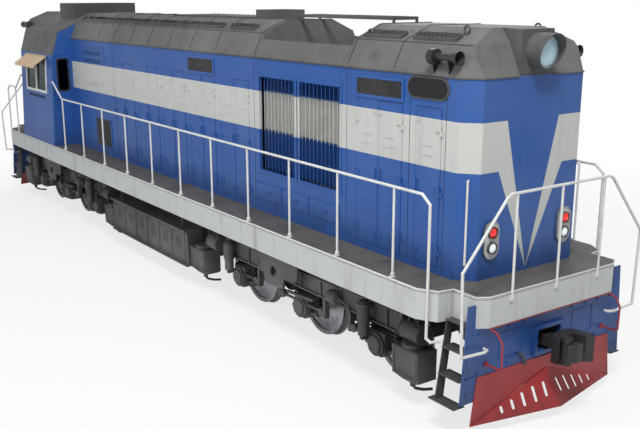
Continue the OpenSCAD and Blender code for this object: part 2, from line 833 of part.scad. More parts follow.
// Opening for the hinged leaf whose hinge side is at x
module leaf_opening(x) {
    box([x - leaf_w, hood_w / 2 - 100, door_z], [x, hood_w / 2 + 50, door_z + door_h]);
}

module wall_lugs(x, y, out) {
    for (z = HINGE_Z) {
        translate([x - leaf_gap, y + hinge_out, door_z + z - 50 - fit]) cylinder(r = hinge_r, h = 50);
        box([x - leaf_gap, y - 1, door_z + z - 50 - fit],
            [x + 40, y + hinge_out + out, door_z + z - fit]);
    }
}

// Columns: x and z of the middle, length, height of the raised panels and grilles
PANELS = [
    [-3390, 3640, 1440, 780], [-2920, 2215, 840, 620],
    [1608, 3930, 940, 270], [6273, 3935, 950, 260],
    [3765, 2075, 740, 300], [4520, 2075, 690, 300], [5270, 2075, 690, 300]
];

module hood_walls() {
    y = hood_w / 2;
    color("royalblue") {
        difference() {
            hood_shell(deck_z, eave_z, hood_wall);
            both_sides() {
                for (i = [0:door_pairs - 1]) leaf_opening(pair_x(i) + leaf_w + 2);
                leaf_opening(cooler_x + leaf_w + 2);
                leaf_opening(nose_door_x + leaf_w / 2);
                box([radiator_x - shutter_l / 2 + 50, y - 100, shutter_z + 50],
                    [radiator_x + shutter_l / 2 - 50, y + 50, shutter_z + shutter_h - 50]);
            }
        }
        both_sides() {
            for (i = [0:door_pairs - 1]) {
                box([pair_x(i) - leaf_w, y - 1, door_z], [pair_x(i) - 4, y + 3, door_z + door_h]);
                wall_lugs(pair_x(i) + leaf_w + 2, y, 0);
            }
            box([cooler_x - leaf_w, y - 1, door_z], [cooler_x - 4, y + 3, door_z + door_h]);
            wall_lugs(cooler_x + leaf_w + 2, y, 0);
            wall_lugs(nose_door_x + leaf_w / 2, y, 0);
            for (p = PANELS)
                box([p[0] - p[2] / 2, y - 1, p[1] - p[3] / 2], [p[0] + p[2] / 2, y + 6, p[1] + p[3] / 2]);
        }
    }
}

// A hinged leaf on the left side; its hinge line is at x - leaf_gap
module hood_leaf(x) {
    y = hood_w / 2;
    difference() {
        box([x - leaf_w + leaf_gap, y + 3 - leaf_t, door_z + leaf_gap],
            [x - leaf_gap - 2, y + 3, door_z + door_h - leaf_gap]);
        box([x - leaf_w + 60, y - leaf_t - 1, door_z + 70],
            [x - 70, y - 6, door_z + door_h - 70]);
    }
    for (z = HINGE_Z) {
        translate([x - leaf_gap, y + hinge_out, door_z + z]) cylinder(r = hinge_r, h = 60);
        box([x - 90, y + 2, door_z + z], [x - leaf_gap, y + hinge_out + 4, door_z + z + 60]);
    }
    // Handle
    box([x - leaf_w + 30, y + 2, 2855], [x - leaf_w + 50, y + 26, 2875]);
    box([x - leaf_w + 30, y + 2, 2735], [x - leaf_w + 50, y + 26, 2755]);
    box([x - leaf_w + 30, y + 20, 2735], [x - leaf_w + 50, y + 30, 2875]);
}

module hinged_leaf(x, side) {
    color("royalblue")
    if (side == "left") hood_leaf(x);
    else mirror([0, 1, 0]) hood_leaf(x);
}

module fan_well_cut() {
    box([radiator_x - well_x / 2, -920, 4000], [radiator_x + well_x / 2, 920, 5000]);
}

module fan_tub() {
    x0 = radiator_x - well_x / 2;
    x1 = radiator_x + well_x / 2;
    y1 = 918;
    difference() {
        box([x0, -y1, eave_z + 20], [x1, y1, knee_z + 180]);
        box([x0 + 16, -y1 + 16, eave_z + 34], [x1 - 16, y1 - 16, knee_z + 200]);
        translate([radiator_x, 0, eave_z]) cylinder(d = fan_d + 50, h = 100);
        difference() {
            box([x0 - 1, -hood_w, eave_z + 100], [x1 + 1, hood_w, knee_z + 400]);
            along_x(x0 - 2, x1 + 2) polygon(hood_section(deck_z, 6));
        }
    }
    // Collar round the fan, and the beam that carries its bearing
    translate([radiator_x, 0, eave_z + 20]) difference() {
        cylinder(d = fan_d + 70, h = 120);
        translate([0, 0, -1]) cylinder(d = fan_d + 50, h = 122);
    }
    box([radiator_x - 60, -fan_d / 2 - 60, eave_z - 40], [radiator_x + 60, fan_d / 2 + 60, eave_z + 20]);
    translate([radiator_x, 0, eave_z]) cylinder(d = 60, h = 130);
}

// Columns: middle of a roof vent along the locomotive, its length
VENTS = [[-4090, 640], [-3400, 640], [-2620, 800], [-1780, 760], [-940, 760], [-120, 760],
         [740, 800], [1590, 760], [2640, 760], [6210, 760], [7190, 760]];

module hood_roof() {
    color("slategray") {
        difference() {
            hood_shell(eave_z, top_z + 1, roof_t);
            fan_well_cut();
        }
        fan_tub();
    }
}

module shutter_panel(x0, x1) {
    y = hood_w / 2;
    z0 = shutter_z;
    z1 = shutter_z + shutter_h;
    difference() {
        box([x0, y, z0], [x1, y + 8, z1]);
        box([x0 + 55, y - 1, z0 + 55], [x1 - 55, y + 9, z1 - 55]);
    }
    step = (x1 - x0 - 110) / slat_n;
    for (i = [0:slat_n - 1])
        translate([x0 + 55 + (i + 0.5) * step, y - 6, z0 + 50]) rotate([0, 0, 40])
            translate([-step * 0.42, -3, 0]) cube([step * 0.84, 6, z1 - z0 - 100]);
}

module radiator_shutters() {
    color("royalblue") both_sides() {
        shutter_panel(radiator_x - shutter_l / 2, radiator_x - 15);
        shutter_panel(radiator_x + 15, radiator_x + shutter_l / 2);
    }
}

module radiator_fan() {
    z = eave_z + 60;
    color("dimgray") translate([radiator_x, 0, z]) {
        difference() {
            cylinder(d = 320, h = 90);
            translate([0, 0, -1]) cylinder(d = 60.6, h = 80);
        }
        for (i = [0:blade_n - 1]) rotate([0, 0, i * 360 / blade_n])
            translate([140, 0, 45]) rotate([28, 0, 0]) translate([0, -95, -5])
                cube([fan_d / 2 - 160, 190, 10]);
    }
}

module engine_block() {
    color("olivedrab") box([-2150, -560, deck_z], [2900, 560, 3420]);
}

// ---- cab ----

// Points of the cab's cross section, drawn in by t
function cab_section(t) = [
    [cab_w / 2 - t, deck_z - (t > 0 ? 10 : 0)], [cab_eave_w / 2 - t, cab_eave_z],
    [shoulder_w / 2 - 0.9 * t, shoulder_z - 0.4 * t], [knee_w / 2 - 0.5 * t, knee_z - 0.9 * t],
    [top_w / 2 - 0.2 * t, top_z - t], [-top_w / 2 + 0.2 * t, top_z - t],
    [-knee_w / 2 + 0.5 * t, knee_z - 0.9 * t], [-shoulder_w / 2 + 0.9 * t, shoulder_z - 0.4 * t],
    [-cab_eave_w / 2 + t, cab_eave_z], [-cab_w / 2 + t, deck_z - (t > 0 ? 10 : 0)]];

door_in = hood_w / 2 + 52;

// Outline of the cab door: its outer edge leans with the cab side
module door_outline(g) {
    polygon([[door_in + g, deck_z + 60 + g], [cab_w / 2 - 62 - g, deck_z + 60 + g],
             [cab_eave_w / 2 - 60 - g, cab_eave_z - 20 - g], [door_in + g, cab_eave_z - 20 - g]]);
}

module door_window(g = 0) {
    translate([1270, 3348]) rounded(250 - 2 * g, 700 - 2 * g, 70 - g);
}

// The front wall's door is on the right; the rear wall's is on the left
module to_rear() {
    translate([cab_mid, 0, 0]) rotate([0, 0, 180]) translate([-cab_mid, 0, 0]) children();
}

module cab_end_openings() {
    mirror([0, 1, 0]) along_x(cab_front - cab_wall - 1, cab_front + 1) door_outline(0);
    along_x(cab_front - cab_wall - 1, cab_front + 1) door_window();
}

module cab_lugs() {
    for (z = HINGE_Z) {
        translate([cab_front + hinge_out, -door_in, door_z + z - 50 - fit]) cylinder(r = hinge_r, h = 50);
        box([cab_front - 1, -door_in, door_z + z - 50 - fit],
            [cab_front + hinge_out, -door_in + 30, door_z + z - fit]);
    }
}

module cab_walls() {
    color("royalblue") {
        difference() {
            along_x(cab_rear, cab_front) polygon(cab_section(0));
            along_x(cab_rear + cab_wall, cab_front - cab_wall) polygon(cab_section(cab_wall));
            // The roof shell takes the place of everything above the eaves between the end walls
            box([cab_rear + cab_wall, -cab_w, cab_eave_z], [cab_front - cab_wall, cab_w, top_z + 1]);
            // The roof sheet also covers the tops of the end walls
            difference() {
                box([cab_rear - 1, -cab_w, cab_eave_z], [cab_front + 1, cab_w, top_z + 1]);
                along_x(cab_rear - 2, cab_front + 2) polygon(cab_section(roof_t));
            }
            cab_end_openings();
            to_rear() cab_end_openings();
            box([cab_mid - window_l / 2, -cab_w, window_z], [cab_mid + window_l / 2, cab_w, window_z + window_h]);
        }
        cab_lugs();
        to_rear() cab_lugs();
    }
}

module cab_roof() {
    color("slategray") intersection() {
        difference() {
            along_x(cab_rear, cab_front) polygon(cab_section(0));
            along_x(cab_rear - 1, cab_front + 1) polygon(cab_section(roof_t));
        }
        box([cab_rear, -cab_w, cab_eave_z], [cab_front, cab_w, top_z + 1]);
    }
}

module cab_windows() {
    y = cab_side_y(window_z);
    color("darkslategray") {
        both_sides() for (s = [-1, 1])
            translate([cab_mid + s * window_l / 4, y - 20 - (s + 1) * 5, window_z + 0.5]) rotate([cab_lean, 0, 0])
                translate([-window_l / 4 - (s < 0 ? 0 : 10), -glass_t, 0])
                    cube([window_l / 2 + 10, glass_t, window_h - 1]);
        along_x(cab_front - 30, cab_front - 30 + glass_t) door_window();
        to_rear() along_x(cab_front - 30, cab_front - 30 + glass_t) door_window();
    }
}

module cab_door() {
    x = cab_front;
    mirror([0, 1, 0]) difference() {
        along_x(x - 38, x + 3) door_outline(leaf_gap);
        along_x(x - 40, x + 5) door_window();
    }
    for (z = HINGE_Z) {
        translate([x + hinge_out, -door_in, door_z + z]) cylinder(r = hinge_r, h = 60);
        box([x + 2, -door_in - 60, door_z + z], [x + hinge_out + 4, -door_in, door_z + z + 60]);
    }
    // Handle and its plate
    box([x + 2, -1468, 2700], [x + 8, -1418, 2960]);
    rod([x + 5, -1445, 2830], [x + 50, -1445, 2830], 18);
    rod([x + 46, -1453, 2830], [x + 46, -1340, 2830], 18);
}

module cab_doors(end) {
    color("royalblue")
    if (end == "front") cab_door();
    else to_rear() cab_door();
}

module awning() {
    y = cab_side_y(3762) + fit;
    color("tan") along_x(cab_mid - 635, cab_mid + 785)
        polygon([[y, 3770], [y + 320, 3555], [y + 320, 3480], [y + 314, 3480], [y + 314, 3549], [y, 3762]]);
    color("dimgray") for (x = [cab_mid - 600, cab_mid + 750])
        rod([x, cab_side_y(3690) + fit + 3, 3690], [x, y + 316, 3534], 12);
}

module awnings() {
    both_sides() awning();
}

module control_desk() {
    color("darkseagreen") {
        along_y(-1380, -450)
            polygon([[cab_front - 420, deck_z], [cab_front - 80, deck_z], [cab_front - 80, 2780],
                     [cab_front - 200, 2780], [cab_front - 300, 2560], [cab_front - 520, 2480],
                     [cab_front - 520, 2420], [cab_front - 420, 2380]]);
        box([cab_front - 400, 250, deck_z], [cab_front - 80, 1000, 2700]);
    }
}

module driver_seat(y) {
    x = cab_mid + 60;
    translate([x, y, deck_z]) cylinder(d = 360, h = 20);
    translate([x, y, deck_z]) cylinder(d = 90, h = 440);
    box([x - 230, y - 235, deck_z + 440], [x + 230, y + 235, deck_z + 530]);
    translate([x - 150, y, deck_z + 480]) rotate([0, -8, 0])
        box([-80, -222, 0], [0, 222, 620]);
}

module driver_seats() {
    color("saddlebrown") for (y = [-900, 900]) driver_seat(y);
}

// ---- lamps, horns and roof fittings ----

lamp_z = 4441;
lamp_r = 210;

module headlight() {
    // Wedge that carries the lamp off the sloping hip
    difference() {
        along_y(-285, 285)
            polygon([[hood_x - 12, eave_z + 20], [hood_x + 6, eave_z + 20], [hood_x - 10, top_z - 12],
                     [hood_x - 316, top_z - 2], [hood_x - 322, top_z - 40], [hood_x - 182, knee_z]]);
        hood_form(deck_z, 0);
    }
    difference() {
        translate([hood_x - 40, 0, lamp_z]) rotate([0, 90, 0]) cylinder(r = lamp_r, h = 330);
        translate([hood_x + 125, 0, lamp_z]) rotate([0, 90, 0]) cylinder(r = lamp_r - 10, h = 200);
        along_y(-300, 300) polygon([[hood_x + 150, lamp_z - 240], [hood_x + 275, lamp_z + 150],
                                    [hood_x + 280, lamp_z + 300], [hood_x + 400, lamp_z + 300],
                                    [hood_x + 400, lamp_z - 240]]);
        hood_form(deck_z, 0);
    }
}

module marker_lamp() {
    translate([hood_x, 656, 2228]) rotate([90, 0, 90]) {
        linear_extrude(24) rounded(250, 470, 124);
        for (dz = [-96, 96]) translate([0, dz, 0]) difference() {
            cylinder(d = 150, h = 62);
            translate([0, 0, 40]) cylinder(d = 128, h = 30);
        }
    }
}

module oval_port() {
    translate([7364, hood_w / 2, 4003]) rotate([-90, 0, 0]) linear_extrude(10) rounded(737, 272, 135);
}

module lamps() {
    color("gray") both_ends() {
        headlight();
        both_sides() marker_lamp();
        both_sides() oval_port();
    }
}

module horn() {
    x = hood_x - 705;
    y = hood_w / 2 + 8;
    z = eave_z + 226;
    translate([x, y, z]) rotate([0, 90, 0]) cylinder(r = 92, h = 92);
    translate([x + 80, y, z]) rotate([0, 90, 0]) cylinder(r = 44, h = 260);
    translate([x + 320, y, z]) rotate([0, 90, 0]) difference() {
        cylinder(r1 = 46, r2 = 80, h = 156);
        translate([0, 0, 20]) cylinder(r1 = 36, r2 = 74, h = 137);
    }
    // Bracket down to the steep roof panel
    for (dx = [30, 290]) difference() {
        along_x(x + dx, x + dx + 14)
            polygon([[y - 125, z - 10], [y, z - 36], [y + 22, z - 40], [hood_w / 2 - 12, eave_z + 12]]);
        hood_form(deck_z, 0);
    }
}

module horns() {
    color("dimgray") both_ends() both_sides() horn();
}

module roof_frame() {
    x0 = radiator_x - well_x / 2 - 30;
    x1 = radiator_x + well_x / 2 + 30;
    z = 4745;
    difference() {
        box([x0, -225, z], [x1, 225, z + 45]);
        box([x0 + 40, -185, z - 1], [x1 - 40, 185, z + 46]);
    }
    for (x = [x0, x1 - 30]) for (y = [-225, 195])
        box([x, y, top_z], [x + 30, y + 30, z]);
}

// Raised strip vent on the shallow roof panel
module vent(x, l) {
    difference() {
        along_x(x - l / 2, x + l / 2)
            polygon([[knee_w / 2 - 170, knee_z - 20], [knee_w / 2 - 45, knee_z - 20],
                     [knee_w / 2 - 45, knee_z + 68], [knee_w / 2 - 165, knee_z + 124]]);
        hood_form(deck_z, 0);
    }
}

module roof_fittings() {
    color("dimgray") {
        // Air intake box over the cab, cut to sit on the roof
        difference() {
            box([cab_mid - 160, -780, 4500], [cab_mid + 790, 720, 4921]);
            along_x(cab_rear, cab_front) polygon(cab_section(0));
        }
        // Removable hatch and the exhaust outlet
        box([-530, -440, top_z], [2230, 440, top_z + 32]);
        difference() {
            box([2260, -300, top_z], [2830, 300, top_z + 150]);
            box([2300, -260, top_z + 40], [2790, 260, top_z + 151]);
        }
        roof_frame();
        both_sides() for (v = VENTS) vent(v[0], v[1]);
    }
}

// ---- assembly ----

module at_end(end) {
    if (end == "front") children();
    else rotate([0, 0, 180]) children();
}

module at_bogie(end) {
    translate([(end == "front" ? 1 : -1) * bogie_pitch / 2, 0, 0]) children();
}

function axle_x(i) = (i <= 3 ? bogie_pitch / 2 : -bogie_pitch / 2) + BOGIE_AXLES[2 - (i - 1) % 3];

underframe();
platform();
end_plates();
rail_guards();
step_ladders();
handrails();
coupling_rods();
battery_boxes();
fuel_tank();
air_reservoirs();
sand_boxes();
hood_walls();
hood_roof();
radiator_shutters();
radiator_fan();
engine_block();
cab_walls();
cab_roof();
cab_windows();
awnings();
lamps();
horns();
roof_fittings();
control_desk();
driver_seats();
for (e = ENDS) {
    cab_doors(e);
    at_bogie(e) color("dimgray") bogie_frame();
    at_bogie(e) axle_boxes();
    at_bogie(e) suspension();
    at_bogie(e) traction_motors();
    at_end(e) coupler();
    at_end(e) knuckle();
}
for (i = [1:6])
    translate([axle_x(i), 0, 0]) wheelset();
for (s = SIDES) {
    for (i = [1:door_pairs])
        hinged_leaf(pair_x(i - 1) + leaf_w + 2, s);
    hinged_leaf(cooler_x + leaf_w + 2, s);
    hinged_leaf(nose_door_x + leaf_w / 2, s);
}
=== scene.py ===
"""Finishes a six-axle diesel shunting locomotive around its packed model.

Units are metres. +X is the long-hood end, +Y the left side, +Z up.
"""

import math
import random

import bmesh
import bpy
from mathutils import Euler, Matrix, Vector


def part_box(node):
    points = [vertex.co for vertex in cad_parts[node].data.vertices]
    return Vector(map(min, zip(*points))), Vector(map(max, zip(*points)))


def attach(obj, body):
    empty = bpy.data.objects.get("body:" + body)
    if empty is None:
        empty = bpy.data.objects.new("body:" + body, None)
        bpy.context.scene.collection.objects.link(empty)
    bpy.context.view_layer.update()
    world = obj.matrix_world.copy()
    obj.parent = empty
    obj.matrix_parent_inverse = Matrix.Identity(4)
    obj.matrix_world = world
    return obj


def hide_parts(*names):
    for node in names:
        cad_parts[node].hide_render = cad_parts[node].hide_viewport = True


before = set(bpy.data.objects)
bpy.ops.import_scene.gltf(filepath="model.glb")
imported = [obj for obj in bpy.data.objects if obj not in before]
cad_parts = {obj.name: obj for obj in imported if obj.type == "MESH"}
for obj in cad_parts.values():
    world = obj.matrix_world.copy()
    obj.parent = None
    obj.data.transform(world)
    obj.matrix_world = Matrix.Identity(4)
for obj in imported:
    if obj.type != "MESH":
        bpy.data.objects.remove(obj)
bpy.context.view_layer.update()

bl_info = {
    "name": "Diesel Shunting Locomotive",
    "version": (1, 0, 0),
    "blender": (4, 5, 0),
    "location": "3D View > Sidebar > Locomotive",
    "description": "Builds the trim, glass, cloth and finishes of a diesel shunting locomotive",
    "category": "Object",
}

ENDS = (("front", 1), ("rear", -1))
SIDES = (("right", -1), ("left", 1))


def limits(node):
    low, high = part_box(node)
    return low, high


# Heights and places taken from the packed model
DECK_Z = limits("platform")[1].z
END_X = limits("platform")[1].x
SIDE_Y = limits("platform")[1].y
EAVE_Z = 4.156
KNEE_Z = 4.518
TOP_Z = 4.703
HOOD_Y = 1.039
KNEE_Y = 0.864
TOP_Y = 0.455
HOOD_X = 8.109
NOSE_Y = 0.860
NOSE_CORNER = 0.216
CAB_X = (-6.815, -4.613)
CAB_MID = sum(CAB_X) / 2
FAN_X = 4.56
BAND_Z = (3.052, 3.648)
DOOR_Z = (1.815, 3.780)
LEAF_W = 0.468
DOOR_XS = [-1.700 + 1.107 * i for i in range(5)]
COOLER_X = 6.444
NOSE_DOOR_X = 7.386
BOGIE_X = 4.9
AXLE_PITCH = 1.8
AXLE_Z = 0.553
BEAM_Y = 1.09
SAND_X = (7.445, 1.895, -2.070, -7.445)


# ---------------------------------------------------------------- settings

def colour_prop(label, words, value):
    return bpy.props.FloatVectorProperty(
        name=label, description=words, subtype="COLOR", size=3, min=0.0, max=1.0, default=value)


class LocomotivePaint(bpy.types.PropertyGroup):
    """Colours of the paints"""

    hood: colour_prop("Hood blue", "Paint of the hoods and the cab", (0.015, 0.080, 0.300))
    band: colour_prop("Band grey", "Paint of the band round the hood", (0.50, 0.50, 0.47))
    sill: colour_prop("Sill grey", "Paint of the platform's sill", (0.47, 0.48, 0.47))
    roof: colour_prop("Roof grey", "Paint of the roofs", (0.105, 0.104, 0.098))
    deck: colour_prop("Walkway grey", "Tread plates of the walkway", (0.095, 0.088, 0.080))
    rails: colour_prop("Rail white", "Paint of the handrails", (0.62, 0.62, 0.59))
    gear: colour_prop("Running gear", "Paint of the bogies and the frame", (0.046, 0.047, 0.049))
    boxes: colour_prop("Box grey", "Paint of the battery and sand boxes", (0.066, 0.060, 0.056))
    signal: colour_prop("Signal red", "Paint of the rail guards and release rods", (0.30, 0.022, 0.022))


class LocomotiveSizes(bpy.types.PropertyGroup):
    """Sizes of the fittings that Blender adds"""

    bolt: bpy.props.FloatProperty(
        name="Bolt head", description="Width of a panel bolt's head", default=0.020,
        min=0.008, max=0.04, subtype="DISTANCE", unit="LENGTH")
    wire: bpy.props.FloatProperty(
        name="Grille wire", description="Thickness of the grille wires", default=0.007,
        min=0.003, max=0.015, subtype="DISTANCE", unit="LENGTH")
    mesh: bpy.props.FloatProperty(
        name="Grille mesh", description="Spacing of the grille wires", default=0.052,
        min=0.02, max=0.1, subtype="DISTANCE", unit="LENGTH")
    coil: bpy.props.FloatProperty(
        name="Spring wire", description="Thickness of the primary springs' wire", default=0.026,
        min=0.015, max=0.04, subtype="DISTANCE", unit="LENGTH")
    scallop: bpy.props.FloatProperty(
        name="Scallop", description="Width of one scallop of an awning", default=0.075,
        min=0.04, max=0.2, subtype="DISTANCE", unit="LENGTH")


# ---------------------------------------------------------------- shader maths

class Value:
    """A socket that takes arithmetic: each operator adds a Math node."""

    def __init__(self, finish, socket):
        self.finish, self.socket = finish, socket

    def math(self, operation, *others):
        return self.finish.node("ShaderNodeMath", {"operation": operation}, (self, *others))

    def __add__(self, other):
        return self.math("ADD", other)

    __radd__ = __add__

    def __sub__(self, other):
        return self.math("SUBTRACT", other)

    def __rsub__(self, other):
        return self.finish.node("ShaderNodeMath", {"operation": "SUBTRACT"}, (other, self))

    def __mul__(self, other):
        return self.math("MULTIPLY", other)

    __rmul__ = __mul__

    def __abs__(self):
        return self.math("ABSOLUTE")

    def __mod__(self, other):
        return self.math("WRAP", other, 0.0)

    def ramp(self, low, high):
        """0 below low and 1 above high, with a smooth step between them."""
        return self.finish.node(
            "ShaderNodeMapRange", {"interpolation_type": "SMOOTHSTEP"},
            {"Value": self, "From Min": low, "From Max": high})

    def larger(self, other):
        return self.math("MAXIMUM", other)


class Finish:
    """A procedural material on Object coordinates."""

    def __init__(self, name):
        self.material = bpy.data.materials.new(name)
        self.material.use_nodes = True
        self.tree = self.material.node_tree
        self.tree.nodes.clear()
        self.coords = self.node("ShaderNodeTexCoord", {}, {}, "Object")
        self.x, self.y, self.z = (
            self.node("ShaderNodeSeparateXYZ", {}, (self.coords,), axis) for axis in "XYZ")

    def node(self, kind, settings, values, output=0):
        made = self.tree.nodes.new(kind)
        for key, value in settings.items():
            setattr(made, key, value)
        pairs = values.items() if isinstance(values, dict) else enumerate(values)
        for key, value in pairs:
            socket = made.inputs[key]
            if isinstance(value, Value):
                self.tree.links.new(value.socket, socket)
            elif isinstance(value, (tuple, list)) and len(value) == 3 and socket.type == "RGBA":
                socket.default_value = (*value, 1.0)
            else:
                socket.default_value = value
        return Value(self, made.outputs[output])

    def noise(self, scale, detail=4.0, stretch=(1.0, 1.0, 1.0), rough=0.5):
        where = self.node("ShaderNodeMapping", {}, {"Vector": self.coords, "Scale": stretch})
        return self.node(
            "ShaderNodeTexNoise", {}, {"Vector": where, "Scale": scale, "Detail": detail, "Roughness": rough})

    def mix(self, a, b, factor):
        return self.node("ShaderNodeMix", {"data_type": "RGBA"}, {0: factor, 6: a, 7: b}, 2)

    def bump(self, height, distance, strength=1.0, under=None):
        values = {"Strength": strength, "Distance": distance, "Height": height}
        if under is not None:
            values["Normal"] = under
        return self.node("ShaderNodeBump", {}, values)

    def surface(self, **values):
        """The closing shader; keys are its socket names with _ for a space."""
        shader = self.node(
            "ShaderNodeBsdfPrincipled", {}, {k.replace("_", " "): v for k, v in values.items()})
        out = self.tree.nodes.new("ShaderNodeOutputMaterial")
        self.tree.links.new(shader.socket, out.inputs["Surface"])
        return self.material


def shade(colour, k):
    return tuple(min(1.0, c * k) for c in colour)


def between(value, low, high, soft):
    return value.ramp(low - soft, low + soft) * (1.0 - value.ramp(high - soft, high + soft))


FINISHES = {}


def painted(name, colour, rough=0.42, dirt=(0.055, 0.050, 0.044), grime=0.35, streaks=0.4,
            foot=None, wear=0.0, metal=0.0, flake=0.12, pattern=None, panel=0.0):
    """Weathered paint: broad fading, grime in patches, runs down the sides and worn spots."""
    f = Finish(name)
    base = pattern(f, colour) if pattern else colour
    broad = f.noise(0.55, 5.0)
    patch = f.noise(3.1, 8.0, rough=0.62)
    fine = f.noise(42.0, 6.0, rough=0.7)
    runs = f.noise(7.0, 6.0, (1.0, 1.0, 0.045), 0.6)
    short = f.noise(16.0, 5.0, (1.0, 1.0, 0.14), 0.6)
    faded = f.mix(base, f.mix(base, (0.5, 0.5, 0.5), flake), broad.ramp(0.40, 0.72))
    dust = (patch.ramp(0.46, 0.80) * grime).larger(runs.ramp(0.53, 0.80) * streaks)
    dust = dust.larger(short.ramp(0.62, 0.85) * (streaks * 0.6))
    if foot:
        low, high, amount = foot
        near = 1.0 - f.z.ramp(low, high)
        dust = dust.larger(near * (0.35 + 0.65 * runs.ramp(0.38, 0.66)) * amount)
    coated = f.mix(faded, dirt, dust)
    roughness = rough + 0.30 * dust + 0.10 * (fine - 0.5)
    if wear:
        spots = (fine * 0.6 + patch * 0.4).ramp(0.60, 0.66) * wear
        coated = f.mix(coated, (0.10, 0.062, 0.042), spots)
        roughness = roughness + 0.2 * spots
    normal = f.bump(fine, 0.0006, 0.35)
    normal = f.bump(f.noise(1.6, 2.0), 0.010 + panel, 0.22, normal)
    FINISHES[name] = f.surface(
        Base_Color=coated, Roughness=roughness, Metallic=metal, Normal=normal)
    return FINISHES[name]


def hood_pattern(paint):
    """Blue with the band round the sides and the V that it makes on the noses."""
    def pattern(f, colour):
        side = abs(f.y)
        end = abs(f.x).ramp(HOOD_X - 0.010, HOOD_X - 0.008)
        tip, top = 1.77, 3.648
        inner = (f.z - tip) * (0.455 / (top - tip))
        outer = (f.z - tip) * (0.565 / (3.05 - tip))
        soft = 0.0015
        under_top = 1.0 - f.z.ramp(top - soft, top + soft)
        over_foot = f.z.ramp(BAND_Z[0] - soft, BAND_Z[0] + soft)
        arm = (side - inner).ramp(-soft, soft)
        arm_edge = (outer - side).ramp(-soft, soft)
        on_end = under_top * arm * over_foot.larger(arm_edge) * f.z.ramp(tip, tip + soft)
        on_side = under_top * over_foot
        mask = end * on_end + (1.0 - end) * on_side
        return f.mix(colour, tuple(paint.band), mask)
    return pattern


def tread_plate(name, paint):
    """Sill paint on the sides, and dark chequered plates with seams on top."""
    f = Finish(name)
    top = f.z.ramp(DECK_Z - 0.0012, DECK_Z - 0.0004)
    runs = f.noise(6.0, 6.0, (1.0, 1.0, 0.05), 0.6)
    patch = f.noise(2.6, 8.0, rough=0.65)
    fine = f.noise(60.0, 5.0, rough=0.7)
    dust = (patch.ramp(0.50, 0.82) * 0.30).larger(runs.ramp(0.52, 0.78) * 0.55)
    # A dark band along the sill just under its lip, also sunk by the bump below: painted shade under the lip
    lip = between(f.z, DECK_Z - 0.042, DECK_Z - 0.034, 0.002)
    sill = f.mix(tuple(paint.sill), (0.13, 0.115, 0.095), dust)
    sill = f.mix(sill, (0.10, 0.10, 0.10), lip * 0.7)
    across = (f.x + f.y) % 0.062
    along = (f.x - f.y) % 0.062
    dash = (f.x * 0.5) % 0.031
    bars = (between(across, 0.022, 0.040, 0.003) * between(dash, 0.0, 0.016, 0.002)).larger(
        between(along, 0.022, 0.040, 0.003) * (1.0 - between(dash, 0.0, 0.016, 0.002)))
    seam = 1.0 - abs((f.x - 0.567) % 1.136 - 0.568).ramp(0.004, 0.010)
    deck = f.mix(tuple(paint.deck), (0.155, 0.145, 0.13), bars * 0.55)
    deck = f.mix(deck, (0.05, 0.046, 0.042), patch.ramp(0.42, 0.70) * 0.6)
    deck = f.mix(deck, (0.02, 0.02, 0.02), seam * 0.8)
    worn_edge = abs(f.y).ramp(SIDE_Y - 0.016, SIDE_Y - 0.010) * top
    colour = f.mix(f.mix(sill, deck, top), (0.52, 0.52, 0.50), worn_edge)
    normal = f.bump(fine, 0.0006, 0.3)
    normal = f.bump(bars * top - 1.5 * seam * top - lip * (1.0 - top), 0.003, 0.9, normal)
    FINISHES[name] = f.surface(
        Base_Color=colour, Roughness=0.50 + 0.25 * dust + 0.10 * top, Metallic=0.0, Normal=normal)


def plain_finish(name, colour, rough, metal=0.0, grain=30.0, vary=0.25, depth=0.0005, **extra):
    """A small-scale finish for lenses, rubber, cloth backs and bare metal."""
    f = Finish(name)
    cloud = f.noise(grain, 5.0)
    tone = f.mix(shade(colour, 1.0 - vary), shade(colour, 1.0 + vary), cloud)
    FINISHES[name] = f.surface(
        Base_Color=tone, Roughness=rough + 0.15 * (cloud - 0.5), Metallic=metal,
        Normal=f.bump(cloud, depth, 0.4), **extra)


def glass_finish(name, tint, alpha):
    f = Finish(name)
    smear = f.noise(3.0, 5.0)
    FINISHES[name] = f.surface(
        Base_Color=f.mix(tint, shade(tint, 1.6), smear), Roughness=0.06 + 0.10 * smear.ramp(0.5, 0.8),
        Metallic=0.0, Alpha=alpha + 0.15 * smear.ramp(0.55, 0.85), IOR=1.5)


def wheel_finish(name):
    """Bare steel treads and rims, with a dusty brown disc."""
    f = Finish(name)
    r = f.node("ShaderNodeVectorMath", {"operation": "LENGTH"}, (f.node(
        "ShaderNodeCombineXYZ", {}, {"X": (f.x + 15.4 - 0.8) % 1.8 - 0.9, "Z": f.z - AXLE_Z}),), "Value")
    patch = f.noise(8.0, 7.0, rough=0.65)
    rim = r.ramp(0.445, 0.462)
    outer = abs(f.y).ramp(0.83, 0.87)
    colour = f.mix((0.050, 0.043, 0.038), (0.42, 0.43, 0.45), rim * (1.0 - outer))
    colour = f.mix(colour, (0.10, 0.065, 0.045), patch.ramp(0.45, 0.75) * 0.55)
    FINISHES[name] = f.surface(
        Base_Color=colour, Roughness=0.62 - 0.28 * rim, Metallic=0.85 * rim,
        Normal=f.bump(patch, 0.002, 0.4))


